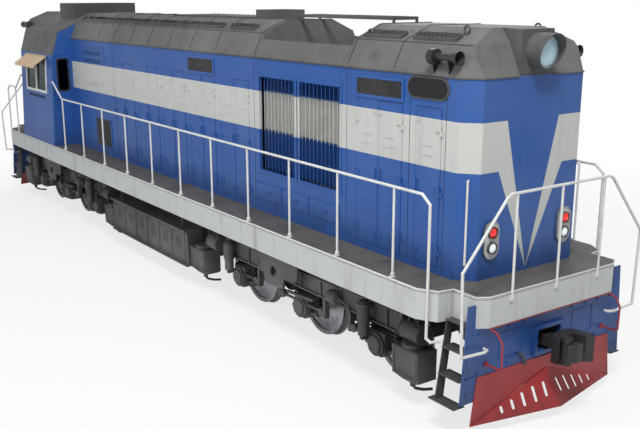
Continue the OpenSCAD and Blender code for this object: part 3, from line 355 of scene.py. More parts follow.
def awning_finish(name):
    """Striped canvas: the stripes run out from the wall, over a plain weave."""
    f = Finish(name)
    place = f.x % 0.096
    tan = between(place, 0.030, 0.046, 0.001)
    rose = between(place, 0.066, 0.074, 0.001)
    fade = f.noise(4.0, 5.0)
    colour = f.mix((0.66, 0.50, 0.34), (0.44, 0.28, 0.15), tan)
    colour = f.mix(colour, (0.52, 0.27, 0.20), rose)
    colour = f.mix(colour, (0.30, 0.22, 0.15), fade.ramp(0.5, 0.8) * 0.35)
    warp = abs(f.x % 0.003 - 0.0015) + abs((f.y + f.z) % 0.003 - 0.0015)
    FINISHES[name] = f.surface(
        Base_Color=colour, Roughness=0.9 + 0.05 * (fade - 0.5), Normal=f.bump(warp, 0.4, 0.4))


def make_finishes(paint):
    blue = tuple(paint.hood)
    painted("hood_paint", blue, 0.34, grime=0.10, streaks=0.24, foot=(1.75, 2.35, 0.40),
            dirt=(0.022, 0.026, 0.042), flake=0.05, pattern=hood_pattern(paint))
    painted("cab_paint", blue, 0.34, grime=0.10, streaks=0.22, foot=(1.75, 2.30, 0.35),
            dirt=(0.022, 0.026, 0.042), flake=0.05)
    painted("apron_paint", shade(blue, 0.72), 0.40, grime=0.25, streaks=0.35, foot=(0.4, 0.95, 0.75),
            dirt=(0.018, 0.021, 0.034), flake=0.06, wear=0.25)
    painted("roof_paint", tuple(paint.roof), 0.66, grime=0.45, streaks=0.35,
            dirt=(0.040, 0.039, 0.036), flake=0.10)
    painted("roof_gear_paint", shade(tuple(paint.roof), 0.50), 0.60, grime=0.40, streaks=0.3,
            dirt=(0.020, 0.019, 0.018))
    painted("rail_paint", tuple(paint.rails), 0.40, grime=0.35, streaks=0.25,
            dirt=(0.15, 0.13, 0.11), wear=0.22)
    painted("gear_paint", tuple(paint.gear), 0.60, grime=0.55, streaks=0.35,
            dirt=(0.062, 0.054, 0.046), wear=0.30)
    painted("box_paint", tuple(paint.boxes), 0.58, grime=0.45, streaks=0.40,
            dirt=(0.030, 0.027, 0.024), foot=(0.35, 0.60, 0.5), wear=0.20)
    painted("signal_paint", tuple(paint.signal), 0.46, grime=0.30, streaks=0.30,
            dirt=(0.060, 0.020, 0.018), wear=0.45, foot=(0.10, 0.42, 0.5))
    painted("engine_paint", (0.055, 0.085, 0.060), 0.45, grime=0.4, streaks=0.2)
    painted("desk_paint", (0.20, 0.28, 0.22), 0.45, grime=0.15, streaks=0.1)
    painted("horn_bronze", (0.030, 0.028, 0.027), 0.40, grime=0.3, streaks=0.2, metal=0.5)
    painted("coupler_iron", (0.034, 0.033, 0.034), 0.48, grime=0.5, streaks=0.1,
            dirt=(0.070, 0.050, 0.038), wear=0.4, metal=0.45)
    painted("fan_metal", (0.10, 0.10, 0.10), 0.42, grime=0.4, streaks=0.1, metal=0.5)
    painted("band_trim", tuple(paint.band), 0.40, grime=0.12, streaks=0.25)
    # Radiator cores: the hood paint and band darkened to three quarters, painted shade for the recess behind
    # the shutters
    painted("shaded_core_paint", shade(blue, 0.75), 0.55, grime=0.30, streaks=0.3, pattern=hood_pattern(paint))
    tread_plate("platform_paint", paint)
    wheel_finish("wheel_steel")
    awning_finish("awning_canvas")
    glass_finish("window_glass", (0.010, 0.020, 0.019), 0.84)
    # Flat black: dark joints on the seams, and painted shade in the holes, slots, vents and behind the
    # grilles
    plain_finish("shade_and_seam_black", (0.006, 0.006, 0.007), 0.85)
    plain_finish("seal_rubber", (0.012, 0.012, 0.013), 0.55)
    plain_finish("bare_steel", (0.42, 0.42, 0.43), 0.32, 0.9)
    plain_finish("spring_steel", (0.045, 0.043, 0.042), 0.45, 0.5)
    plain_finish("seat_hide", (0.045, 0.026, 0.016), 0.50, grain=160.0, depth=0.0012)
    plain_finish("dial_face", (0.60, 0.60, 0.56), 0.35, grain=12.0, vary=0.06)
    plain_finish("reflector", (0.66, 0.70, 0.74), 0.22, 0.6, grain=6.0, vary=0.05)
    plain_finish("headlight_glass", (0.34, 0.50, 0.56), 0.10, grain=5.0, vary=0.12,
                 Emission_Color=(0.60, 0.82, 0.92, 1.0), Emission_Strength=0.10, Coat_Weight=0.8)
    plain_finish("white_lens", (0.70, 0.78, 0.80), 0.10, grain=20.0, vary=0.08,
                 Emission_Color=(0.75, 0.88, 0.95, 1.0), Emission_Strength=0.35, Coat_Weight=0.8)
    plain_finish("red_lens", (0.75, 0.010, 0.008), 0.10, grain=20.0, vary=0.10,
                 Emission_Color=(1.0, 0.02, 0.01, 1.0), Emission_Strength=0.35, Coat_Weight=0.8)


CAD_FINISHES = {
    "hood_paint": ("hood_walls", "radiator_shutters", "engine_door_", "cooler_door_", "nose_door_"),
    "cab_paint": ("cab_walls", "cab_door_"),
    "apron_paint": ("end_plates",),
    "platform_paint": ("platform",),
    "rail_paint": ("handrails",),
    "roof_paint": ("hood_roof", "cab_roof"),
    "roof_gear_paint": ("roof_fittings", "lamps"),
    "horn_bronze": ("horns",),
    "gear_paint": ("underframe", "step_ladders", "air_reservoirs", "fuel_tank", "bogie_frame_",
                   "axle_boxes_", "suspension_", "traction_motors_"),
    "box_paint": ("battery_boxes", "sand_boxes"),
    "signal_paint": ("rail_guards", "coupling_rods"),
    "wheel_steel": ("wheelset_",),
    "coupler_iron": ("coupler_", "knuckle_"),
    "fan_metal": ("radiator_fan",),
    "engine_paint": ("engine_block",),
    "window_glass": ("cab_windows",),
    "awning_canvas": ("awnings",),
    "desk_paint": ("control_desk",),
    "seat_hide": ("driver_seats",),
}


# ---------------------------------------------------------------- shapes

class Shape:
    """Mesh being built from boxes, bent tubes, turned profiles and flat plates."""

    def __init__(self):
        self.bm = bmesh.new()

    def box(self, low, high, turn=None):
        low, high = Vector(low), Vector(high)
        middle, size = (low + high) / 2, high - low
        place = Matrix.Translation(middle) @ (turn.to_matrix().to_4x4() if turn else Matrix())
        bmesh.ops.create_cube(self.bm, size=1.0, matrix=place @ Matrix.Diagonal((*size, 1.0)))
        return self

    def tube(self, points, radius, sides=12, closed=False):
        points = [Vector(p) for p in points]
        count = len(points)
        rings = []
        side = None
        for i, p in enumerate(points):
            before = points[i - 1] if closed or i else p
            after = points[(i + 1) % count] if closed or i < count - 1 else p
            ahead = (after - before).normalized()
            if side is None:
                side = ahead.orthogonal().normalized()
            side = (side - ahead * side.dot(ahead)).normalized()
            other = ahead.cross(side)
            grow = 1.0
            if 0 < i < count - 1 or closed:
                half = (p - before).normalized().angle((after - p).normalized(), 0.0) / 2
                grow = 1.0 / max(0.6, math.cos(half))
            bend = (after - p).normalized() - (p - before).normalized() if grow > 1.0001 else None
            ring = []
            for k in range(sides):
                a = 2 * math.pi * k / sides
                spoke = side * math.cos(a) + other * math.sin(a)
                if bend is not None and bend.length > 1e-6:
                    b = bend.normalized()
                    spoke = spoke + b * spoke.dot(b) * (grow - 1.0)
                ring.append(self.bm.verts.new(p + spoke * radius))
            rings.append(ring)
        spans = count if closed else count - 1
        for i in range(spans):
            a, b = rings[i], rings[(i + 1) % count]
            for k in range(sides):
                m = (k + 1) % sides
                self.bm.faces.new((a[k], a[m], b[m], b[k]))
        if not closed:
            self.bm.faces.new(list(reversed(rings[0])))
            self.bm.faces.new(rings[-1])
        return self

    def turned(self, profile, origin, axis, sides=32):
        """Closed solid of revolution; profile is [(radius, height), ...] from foot to tip."""
        axis = Vector(axis).normalized()
        side = axis.orthogonal().normalized()
        other = axis.cross(side)
        origin = Vector(origin)
        rings = []
        for radius, height in profile:
            middle = origin + axis * height
            if radius < 1e-6:
                rings.append([self.bm.verts.new(middle)])
                continue
            rings.append([self.bm.verts.new(
                middle + (side * math.cos(2 * math.pi * k / sides)
                          + other * math.sin(2 * math.pi * k / sides)) * radius)
                for k in range(sides)])
        for a, b in zip(rings, rings[1:]):
            for k in range(sides):
                m = (k + 1) % sides
                face = [a[k % len(a)], a[m % len(a)], b[m % len(b)], b[k % len(b)]]
                face = [v for i, v in enumerate(face) if v not in face[:i]]
                if len(face) > 2:
                    self.bm.faces.new(face)
        if len(rings[0]) > 1:
            self.bm.faces.new(list(reversed(rings[0])))
        if len(rings[-1]) > 1:
            self.bm.faces.new(rings[-1])
        return self

    def plate(self, outline, origin, u, v, thick):
        """Flat outline in the u-v plane at origin, thickened along u x v."""
        origin, u, v = Vector(origin), Vector(u).normalized(), Vector(v).normalized()
        n = u.cross(v)
        low = [self.bm.verts.new(origin + u * a + v * b) for a, b in outline]
        high = [self.bm.verts.new(origin + u * a + v * b + n * thick) for a, b in outline]
        count = len(outline)
        self.bm.faces.new(list(reversed(low)))
        self.bm.faces.new(high)
        for k in range(count):
            m = (k + 1) % count
            self.bm.faces.new((low[k], low[m], high[m], high[k]))
        return self

    def rim(self, outer, inner, origin, u, v, thick):
        """Flat ring between two outlines that have the same number of points."""
        origin, u, v = Vector(origin), Vector(u).normalized(), Vector(v).normalized()
        n = u.cross(v)
        loops = []
        for outline, lift in ((outer, 0.0), (outer, thick), (inner, thick), (inner, 0.0)):
            loops.append([self.bm.verts.new(origin + u * a + v * b + n * lift) for a, b in outline])
        count = len(outer)
        for a, b in zip(loops, loops[1:] + loops[:1]):
            for k in range(count):
                m = (k + 1) % count
                self.bm.faces.new((a[k], a[m], b[m], b[k]))
        return self


def piece(shape, name, body, finish, smooth=35.0, bevel=0.0):
    """Turns a Shape into a finished piece that rides on a body."""
    bmesh.ops.recalc_face_normals(shape.bm, faces=shape.bm.faces[:])
    mesh = bpy.data.meshes.new(name)
    shape.bm.to_mesh(mesh)
    shape.bm.free()
    return settle(mesh, name, body, finish, smooth, bevel)


def settle(mesh, name, body, finish, smooth=35.0, bevel=0.0):
    made = bpy.data.objects.new(name, mesh)
    bpy.context.scene.collection.objects.link(made)
    mesh.materials.clear()
    mesh.materials.append(FINISHES[finish])
    if smooth:
        mesh.shade_smooth()
        mesh.set_sharp_from_angle(angle=math.radians(smooth))
    if bevel:
        edge = made.modifiers.new("edges", "BEVEL")
        edge.width, edge.segments, edge.limit_method = bevel, 1, "ANGLE"
        edge.angle_limit = math.radians(40)
    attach(made, body)
    return made


def stadium(width, height, steps=10):
    r = min(width, height) / 2
    dx, dy = width / 2 - r, height / 2 - r
    points = []
    for k in range(4 * steps):
        a = 2 * math.pi * (k + 0.5) / (4 * steps)
        c, s = math.cos(a), math.sin(a)
        points.append((math.copysign(dx, c) + r * c, math.copysign(dy, s) + r * s))
    return points


def rounded(width, height, r, steps=4):
    points = []
    for k in range(4 * steps):
        a = 2 * math.pi * (k + 0.5) / (4 * steps)
        c, s = math.cos(a), math.sin(a)
        points.append((math.copysign(width / 2 - r, c) + r * c, math.copysign(height / 2 - r, s) + r * s))
    return points


def rectangle(width, height):
    return [(-width / 2, -height / 2), (width / 2, -height / 2), (width / 2, height / 2),
            (-width / 2, height / 2)]


def border_points(width, height, pitch):
    """Points along a rectangle's edge, spaced near pitch."""
    nx, ny = max(1, round(width / pitch)), max(1, round(height / pitch))
    across = [(-width / 2 + width * i / nx, s * height / 2) for i in range(nx + 1) for s in (-1, 1)]
    up = [(s * width / 2, -height / 2 + height * i / ny) for i in range(1, ny) for s in (-1, 1)]
    return across + up


# ---------------------------------------------------------------- geometry nodes

class Nodes:
    """A Geometry Nodes tree with named inputs."""

    def __init__(self, name, inputs):
        self.tree = bpy.data.node_groups.new(name, "GeometryNodeTree")
        face = self.tree.interface
        face.new_socket("Geometry", in_out="INPUT", socket_type="NodeSocketGeometry")
        for label, kind, value in inputs:
            face.new_socket(label, in_out="INPUT", socket_type=kind).default_value = value
        face.new_socket("Material", in_out="INPUT", socket_type="NodeSocketMaterial")
        face.new_socket("Geometry", in_out="OUTPUT", socket_type="NodeSocketGeometry")
        self.given = self.tree.nodes.new("NodeGroupInput")

    def add(self, kind, settings, values, output=0):
        made = self.tree.nodes.new(kind)
        for key, value in settings.items():
            setattr(made, key, value)
        for key, value in values.items():
            if isinstance(value, bpy.types.NodeSocket):
                self.tree.links.new(value, made.inputs[key])
            else:
                made.inputs[key].default_value = value
        return made.outputs[output]

    def attribute(self, name):
        return self.add("GeometryNodeInputNamedAttribute", {"data_type": "FLOAT_VECTOR"}, {"Name": name})

    def close(self, geometry):
        real = self.add("GeometryNodeRealizeInstances", {}, {"Geometry": geometry})
        done = self.add("GeometryNodeSetMaterial", {},
                        {"Geometry": real, "Material": self.given.outputs["Material"]})
        out = self.tree.nodes.new("NodeGroupOutput")
        self.tree.links.new(done, out.inputs[0])


def scatter_tree(name, inputs, make):
    """Puts the shape that make() returns on each point, turned and sized by its attributes."""
    nodes = Nodes(name, inputs)
    shape = make(nodes)
    placed = nodes.add("GeometryNodeInstanceOnPoints", {}, {
        "Points": nodes.given.outputs["Geometry"], "Instance": shape,
        "Rotation": nodes.attribute("turn"), "Scale": nodes.attribute("size")})
    nodes.close(placed)
    return nodes.tree


def bolt_shape(nodes):
    washer = nodes.add("GeometryNodeMeshCylinder", {"fill_type": "NGON"}, {
        "Vertices": 10, "Radius": nodes.given.outputs["Washer"], "Depth": 0.004})
    head = nodes.add("GeometryNodeMeshCylinder", {"fill_type": "NGON"}, {
        "Vertices": 6, "Radius": nodes.given.outputs["Head"], "Depth": nodes.given.outputs["Height"]})
    joined = nodes.tree.nodes.new("GeometryNodeJoinGeometry")
    for part in (washer, head):
        nodes.tree.links.new(part, joined.inputs[0])
    return joined.outputs[0]


def block_shape(nodes):
    return nodes.add("GeometryNodeMeshCube", {}, {"Size": (1.0, 1.0, 1.0)})


def coil_shape(nodes):
    path = nodes.add("GeometryNodeCurveSpiral", {}, {
        "Resolution": 18, "Rotations": nodes.given.outputs["Turns"],
        "Start Radius": nodes.given.outputs["Radius"], "End Radius": nodes.given.outputs["Radius"],
        "Height": nodes.given.outputs["Height"]})
    wire = nodes.add("GeometryNodeCurvePrimitiveCircle", {"mode": "RADIUS"}, {
        "Resolution": 8, "Radius": nodes.given.outputs["Wire"]})
    return nodes.add("GeometryNodeCurveToMesh", {}, {
        "Curve": path, "Profile Curve": wire, "Fill Caps": True})


TREES = {}


def make_trees():
    number = "NodeSocketFloat"
    TREES["bolts"] = scatter_tree("bolts", [
        ("Head", number, 0.010), ("Washer", number, 0.013), ("Height", number, 0.016)], bolt_shape)
    TREES["blocks"] = scatter_tree("blocks", [], block_shape)
    TREES["coils"] = scatter_tree("coils", [
        ("Turns", number, 6.0), ("Radius", number, 0.066), ("Height", number, 0.3),
        ("Wire", number, 0.013)], coil_shape)


def scatter(tree, name, points, body, finish, values=None, smooth=35.0):
    """points are (place, turn as Euler angles, size); the result is a plain mesh."""
    mesh = bpy.data.meshes.new(name + "_points")
    mesh.from_pydata([p[0] for p in points], [], [])
    for label, i in (("turn", 1), ("size", 2)):
        data = mesh.attributes.new(label, "FLOAT_VECTOR", "POINT").data
        data.foreach_set("vector", [c for p in points for c in p[i]])
    source = bpy.data.objects.new(name + "_points", mesh)
    bpy.context.scene.collection.objects.link(source)
    live = source.modifiers.new("scatter", "NODES")
    live.node_group = TREES[tree]
    for item in TREES[tree].interface.items_tree:
        if item.in_out == "INPUT" and item.name in (values or {}):
            live[item.identifier] = values[item.name]
        if item.in_out == "INPUT" and item.name == "Material":
            live[item.identifier] = FINISHES[finish]
    seen = source.evaluated_get(bpy.context.evaluated_depsgraph_get())
    made = bpy.data.meshes.new_from_object(seen)
    bpy.data.objects.remove(source)
    bpy.data.meshes.remove(mesh)
    if not made.polygons:
        raise RuntimeError(f"{name} came out empty")
    return settle(made, name, body, finish, smooth)


ONE = (1.0, 1.0, 1.0)
FACING = {"+y": (-math.pi / 2, 0.0, 0.0), "-y": (math.pi / 2, 0.0, 0.0),
          "+x": (0.0, math.pi / 2, 0.0), "-x": (0.0, -math.pi / 2, 0.0), "+z": (0.0, 0.0, 0.0)}


def panel_bolts(x, z, width, height, y, side, pitch=0.12, inset=0.022):
    face = "+y" if side > 0 else "-y"
    return [((x + a, side * y, z + b), FACING[face], ONE)
            for a, b in border_points(width - 2 * inset, height - 2 * inset, pitch)]


# ---------------------------------------------------------------- pieces

def wire_grille(width, height, pitch):
    """Diagonal wires that fill a rectangle: ends of each, in the panel's own plane."""
    lines = []
    reach = width + height
    count = int(reach / pitch)
    for i in range(1, count):
        c = -reach / 2 + i * pitch
        for s in (1, -1):
            ends = []
            for a in (-width / 2, width / 2):
                b = s * (a - c) if s > 0 else -(a - c)
                if abs(b) <= height / 2:
                    ends.append((a, b))
            for b in (-height / 2, height / 2):
                a = c + s * b
                if abs(a) < width / 2:
                    ends.append((a, b))
            if len(ends) >= 2:
                lines.append((ends[0], ends[-1]))
    return lines


# Grilles: middle x, middle z, length, height
GRILLES = [(1.608, 3.930, 0.940, 0.270), (6.440, 3.935, 0.950, 0.260), (-2.920, 2.215, 0.840, 0.620)]
# Hatches under the shutters
HATCHES = [(3.765, 2.075, 0.740, 0.300), (4.520, 2.075, 0.690, 0.300), (5.270, 2.075, 0.690, 0.300)]
EMBOSSED = (-3.390, 3.640, 1.440, 0.780)


def build_grilles(sizes):
    frames, wires, backs = Shape(), Shape(), Shape()
    for _, s in SIDES:
        for x, z, w, h in GRILLES:
            y = s * (HOOD_Y + 0.006)
            frames.rim(rectangle(w + 0.03, h + 0.03), rectangle(w - 0.05, h - 0.05),
                       (x, y - s * 0.004, z), (-s, 0, 0), (0, 0, 1), 0.014)
            # A flat black sheet behind the wires: painted shade inside the hood
            backs.box((x - w / 2 + 0.01, min(y, y + s * 0.002), z - h / 2 + 0.01),
                      (x + w / 2 - 0.01, max(y, y + s * 0.002), z + h / 2 - 0.01))
            for k, (a, b) in enumerate(wire_grille(w - 0.04, h - 0.04, sizes.mesh)):
                lift = y + s * (0.0055 + 0.002 * (k % 2))
                wires.tube([(x + a[0], lift, z + a[1]), (x + b[0], lift, z + b[1])], sizes.wire / 2, 5)
    piece(frames, "grille_frames", "frame", "hood_paint")
    piece(wires, "grille_wires", "frame", "roof_gear_paint")
    piece(backs, "grille_shade_sheets", "frame", "shade_and_seam_black")


def build_radiators():
    """Finned radiator cores behind the shutters."""
    low, high = limits("radiator_shutters")
    x0, x1, z0, z1 = low.x + 0.06, high.x - 0.06, low.z + 0.06, high.z - 0.06
    cores, fins = Shape(), []
    count = 44
    for _, s in SIDES:
        cores.box((x0, min(s * 0.86, s * 0.93), z0), (x1, max(s * 0.86, s * 0.93), z1))
        for k in range(count):
            x = x0 + (k + 0.5) * (x1 - x0) / count
            fins.append(((x, s * 0.936, (z0 + z1) / 2), (0, 0, 0), (0.006, 0.014, z1 - z0 - 0.02)))
    # Cores and fins take the darkened hood paint: painted shade behind the shutters
    piece(cores, "radiator_cores", "frame", "shaded_core_paint")
    scatter("blocks", "radiator_fins", fins, "frame", "shaded_core_paint")


def leaf_trim(shape, x0, x1, hinge_high, s):
    """Raised rim, latch and stiffening rib of one door leaf between x0 and x1."""
    y = s * (HOOD_Y + 0.003)
    w, h = x1 - x0 - 0.024, DOOR_Z[1] - DOOR_Z[0] - 0.040
    middle = ((x0 + x1) / 2, y - s * 0.001, sum(DOOR_Z) / 2)
    shape.rim(rounded(w, h, 0.03), rounded(w - 0.020, h - 0.020, 0.022), middle, (-s, 0, 0), (0, 0, 1), 0.004)
    latch = x0 + 0.055 if hinge_high else x1 - 0.055
    for z in (1.98, 3.61):
        shape.box((latch - 0.028, min(y, y + s * 0.012), z - 0.018),
                  (latch + 0.028, max(y, y + s * 0.012), z + 0.018))
    for z in (2.30, 2.42, 3.20, 3.32):
        shape.box((middle[0] - 0.09, min(y, y + s * 0.007), z - 0.006),
                  (middle[0] + 0.09, max(y, y + s * 0.007), z + 0.006))


def build_doors():
    for side, s in SIDES:
        fixed = Shape()
        leaves = [(f"engine_door_{side}_{i + 1}", x, x + LEAF_W) for i, x in enumerate(DOOR_XS)]
        leaves += [(f"cooler_door_{side}", COOLER_X, COOLER_X + LEAF_W),
                   (f"nose_door_{side}", NOSE_DOOR_X - LEAF_W / 2, NOSE_DOOR_X + LEAF_W / 2 - 0.004)]
        for name, x0, x1 in leaves:
            trim = Shape()
            leaf_trim(trim, x0 + 0.002, x1 - 0.002, True, s)
            piece(trim, name + "_trim", name, "hood_paint")
        for x in [*DOOR_XS, COOLER_X]:
            leaf_trim(fixed, x - LEAF_W + 0.002, x - 0.006, False, s)
            y = s * (HOOD_Y + 0.003)
            for z in (2.035, 2.765, 3.505):
                fixed.tube([(x - LEAF_W - 0.008, y + s * 0.010, z - 0.055),
                            (x - LEAF_W - 0.008, y + s * 0.010, z + 0.055)], 0.011, 10)
                fixed.box((x - LEAF_W - 0.012, min(y - s * 0.003, y + s * 0.008), z - 0.045),
                          (x - LEAF_W + 0.075, max(y - s * 0.003, y + s * 0.008), z + 0.045))
            fixed.box((x - 0.062, min(y, y + s * 0.022), 2.745), (x - 0.042, max(y, y + s * 0.022), 2.865))
        piece(fixed, f"fixed_leaf_trim_{side}", "frame", "hood_paint")


def eave_loop(out, drop):
    """Corners of the hood at the eaves, moved out by a distance; it runs round a nose."""
    x, y = HOOD_X + out, HOOD_Y + out
    return [(x, NOSE_Y + out * 0.5, drop), (HOOD_X - NOSE_CORNER + out * 0.5, y, drop)]


def build_hood_trim():
    """Gutter along the eaves, seams of the wall sheets and covers over the hatches."""
    gutter = Shape()
    for lift, r in ((EAVE_Z - 0.004, 0.011),):
        for s in (1, -1):
            a, b = eave_loop(0.004, lift)
            gutter.tube([(CAB_X[1] + 0.01, s * b[1], lift), (b[0], s * b[1], lift), (a[0], s * a[1], lift),
                         (a[0], 0.30 * s, lift)], r, 8)
            gutter.tube([(CAB_X[0] - 0.01, s * b[1], lift), (-b[0], s * b[1], lift), (-a[0], s * a[1], lift),
                         (-a[0], 0.30 * s, lift)], r, 8)
    piece(gutter, "eave_gutter", "frame", "roof_gear_paint")
    covers = Shape()
    for _, s in SIDES:
        y = s * (HOOD_Y + 0.006)
        for x, z, w, h in HATCHES:
            covers.plate(rectangle(w - 0.05, h - 0.05), (x, y, z), (-s, 0, 0), (0, 0, 1), 0.006)
            covers.tube([(x - 0.06, y, z), (x - 0.06, y + s * 0.024, z), (x + 0.06, y + s * 0.024, z),
                         (x + 0.06, y, z)], 0.006, 8)
        x, z, w, h = EMBOSSED
        covers.rim(rectangle(w - 0.10, h - 0.10), rectangle(w - 0.16, h - 0.16), (x, y, z),
                   (-s, 0, 0), (0, 0, 1), 0.005)
        covers.plate(rectangle(1.02, 0.40), (x + 0.05, y, 3.44), (-s, 0, 0), (0, 0, 1), 0.008)
        # Skirting where the hood meets the deck
        covers.box((CAB_X[1] + 0.01, min(s * HOOD_Y, s * (HOOD_Y + 0.014)), DECK_Z),
                   (HOOD_X - NOSE_CORNER, max(s * HOOD_Y, s * (HOOD_Y + 0.014)), DECK_Z + 0.060))
        covers.box((-HOOD_X + NOSE_CORNER, min(s * HOOD_Y, s * (HOOD_Y + 0.014)), DECK_Z),
                   (CAB_X[0] - 0.01, max(s * HOOD_Y, s * (HOOD_Y + 0.014)), DECK_Z + 0.060))
    piece(covers, "hood_covers", "frame", "hood_paint")
    seams = []
    for _, s in SIDES:
        for x in (-2.240, 3.360, 5.760, 7.045, 7.690):
            seams.append(((x, s * (HOOD_Y + 0.0005), (DECK_Z + EAVE_Z) / 2), (0, 0, 0),
                          (0.006, 0.003, EAVE_Z - DECK_Z - 0.1)))
        # Pressed louvre marks of the panel behind the cab, black: painted shade in the louvres
        x, z, w, h = EMBOSSED
        for row in (3.56, 3.72, 3.88):
            seams += [((x - 0.42 + 0.09 * k, s * (HOOD_Y + 0.009), row), (0, 0.3, 0),
                       (0.014, 0.008, 0.085)) for k in range(11)]
    scatter("blocks", "wall_seams", seams, "frame", "shade_and_seam_black")


def build_bolts(sizes):
    """Bolt heads round every bolted panel of the hood, the doors and the end plates."""
    rows = {"hood_bolts": []}
    for _, s in SIDES:
        for x, z, w, h in GRILLES + HATCHES + [EMBOSSED]:
            rows["hood_bolts"] += panel_bolts(x, z, w, h, HOOD_Y + 0.010, s, 0.13)
        for x0, x1 in ((FAN_X - 1.095, FAN_X - 0.015), (FAN_X + 0.015, FAN_X + 1.095)):
            rows["hood_bolts"] += panel_bolts((x0 + x1) / 2, 3.145, x1 - x0, 1.56, HOOD_Y + 0.009, s,
                                              0.13, 0.026)
    half = sizes.bolt / 2
    values = {"Head": half, "Washer": half * 1.3, "Height": half * 1.4}
    scatter("bolts", "hood_bolts", rows["hood_bolts"], "frame", "hood_paint", values)
    for side, s in SIDES:
        names = [(f"engine_door_{side}_{i + 1}", x, x + LEAF_W) for i, x in enumerate(DOOR_XS)]
        names += [(f"cooler_door_{side}", COOLER_X, COOLER_X + LEAF_W),
                  (f"nose_door_{side}", NOSE_DOOR_X - LEAF_W / 2, NOSE_DOOR_X + LEAF_W / 2)]
        small = {"Head": 0.007, "Washer": 0.010, "Height": 0.010}
        face = FACING["+y" if s > 0 else "-y"]
        fixed = []
        for name, x0, x1 in names:
            points = [((x1 - 0.075, s * (HOOD_Y + 0.020), DOOR_Z[0] + z + 0.03 + dz), face, ONE)
                      for z in (0.220, 0.950, 1.690) for dz in (-0.018, 0.018)]
            scatter("bolts", name + "_bolts", points, name, "hood_paint", small)
            if not name.startswith("nose"):
                x = x0 - LEAF_W
                fixed += [((x + 0.05, s * (HOOD_Y + 0.012), z + dz), face, ONE)
                          for z in (2.035, 2.765, 3.505) for dz in (-0.03, 0.03)]
        scatter("bolts", f"fixed_leaf_bolts_{side}", fixed, "frame", "hood_paint", small)
    apron = []
    for name, t in ENDS:
        x = t * (END_X - 0.073)
        face = FACING["+x" if t > 0 else "-x"]
        for y in (-1.20, -0.95, -0.70, -0.45, 0.45, 0.70, 0.95, 1.20):
            apron += [((x, y, z), face, (1.6, 1.6, 1.6)) for z in (0.79, 1.27)]
        apron += [((x + t * 0.040, y, z), face, (1.6, 1.6, 1.6)) for y in (-0.235,
                                                                           0.235) for z in (0.83, 0.94, 1.05)]
        apron += [((x, y, z), face, (1.3, 1.3, 1.3)) for y in (-1.38, 1.38) for z in (0.55, 0.75, 0.95, 1.15)]
    scatter("bolts", "apron_bolts", apron, "frame", "apron_paint", values)


def build_lamps():
    """Reflectors, glasses and coloured lenses of the lamps, and the oval ports."""
    glass, dishes, reds, whites, rims, ports, port_rims, faces = (Shape() for _ in range(8))
    lens = [(0.0, 0.052), (0.05, 0.050), (0.10, 0.041), (0.15, 0.026), (0.188, 0.006), (0.190, 0.0),
            (0.0, -0.004)]
    for _, t in ENDS:
        c = (t * (HOOD_X + 0.131), 0.0, 4.441)
        glass.turned(lens[::-1], c, (t, 0, 0), 40)
        outer = [(0.199 * math.cos(a), 0.199 * math.sin(a))
                 for a in [2 * math.pi * k / 40 for k in range(40)]]
        inner = [(0.182 * math.cos(a), 0.182 * math.sin(a))
                 for a in [2 * math.pi * k / 40 for k in range(40)]]
        dishes.rim(outer, inner, (t * (HOOD_X + 0.128), 0, 4.441), (0, t, 0), (0, 0, 1), 0.022)
        for y in (-0.656, 0.656):
            small = [(0.0, 0.030), (0.03, 0.028), (0.052, 0.018), (0.062, 0.002), (0.0, -0.002)]
            for z, shape in ((2.228 + 0.096, reds), (2.228 - 0.096, whites)):
                shape.turned(small[::-1], (t * (HOOD_X + 0.040), y, z), (t, 0, 0), 24)
            faces.plate(stadium(0.225, 0.445), (t * (HOOD_X + 0.0245), y, 2.228), (0, t, 0), (0, 0, 1), 0.003)
            rims.rim(stadium(0.255, 0.475), stadium(0.215, 0.435), (t * (HOOD_X + 0.022), y, 2.228),
                     (0, t, 0), (0, 0, 1), 0.010)
            s = math.copysign(1.0, y)
            x = t * 7.364
            # A flat black plate inside each port's rim: painted shade in the hole
            ports.plate(stadium(0.700, 0.236), (x, s * (HOOD_Y + 0.0095), 4.003), (-s, 0, 0), (0, 0, 1),
                        0.004)
            port_rims.rim(stadium(0.724, 0.260), stadium(0.696, 0.232), (x, s * (HOOD_Y + 0.004), 4.003),
                          (-s, 0, 0), (0, 0, 1), 0.014)
    piece(glass, "headlight_glasses", "frame", "headlight_glass", 60.0)
    piece(dishes, "headlight_rims", "frame", "bare_steel")
    piece(reds, "red_lenses", "frame", "red_lens", 60.0)
    piece(whites, "white_lenses", "frame", "white_lens", 60.0)
    piece(rims, "lamp_rims", "frame", "bare_steel")
    piece(faces, "marker_faces", "frame", "band_trim")
    piece(port_rims, "port_rims", "frame", "roof_gear_paint")
    piece(ports, "port_shade_plates", "frame", "shade_and_seam_black")


# ---- cab

LEAN = math.atan2(1.600 - 1.505, 3.800 - DECK_Z)


def cab_side_y(z):
    return 1.600 - (z - DECK_Z) * math.tan(LEAN)


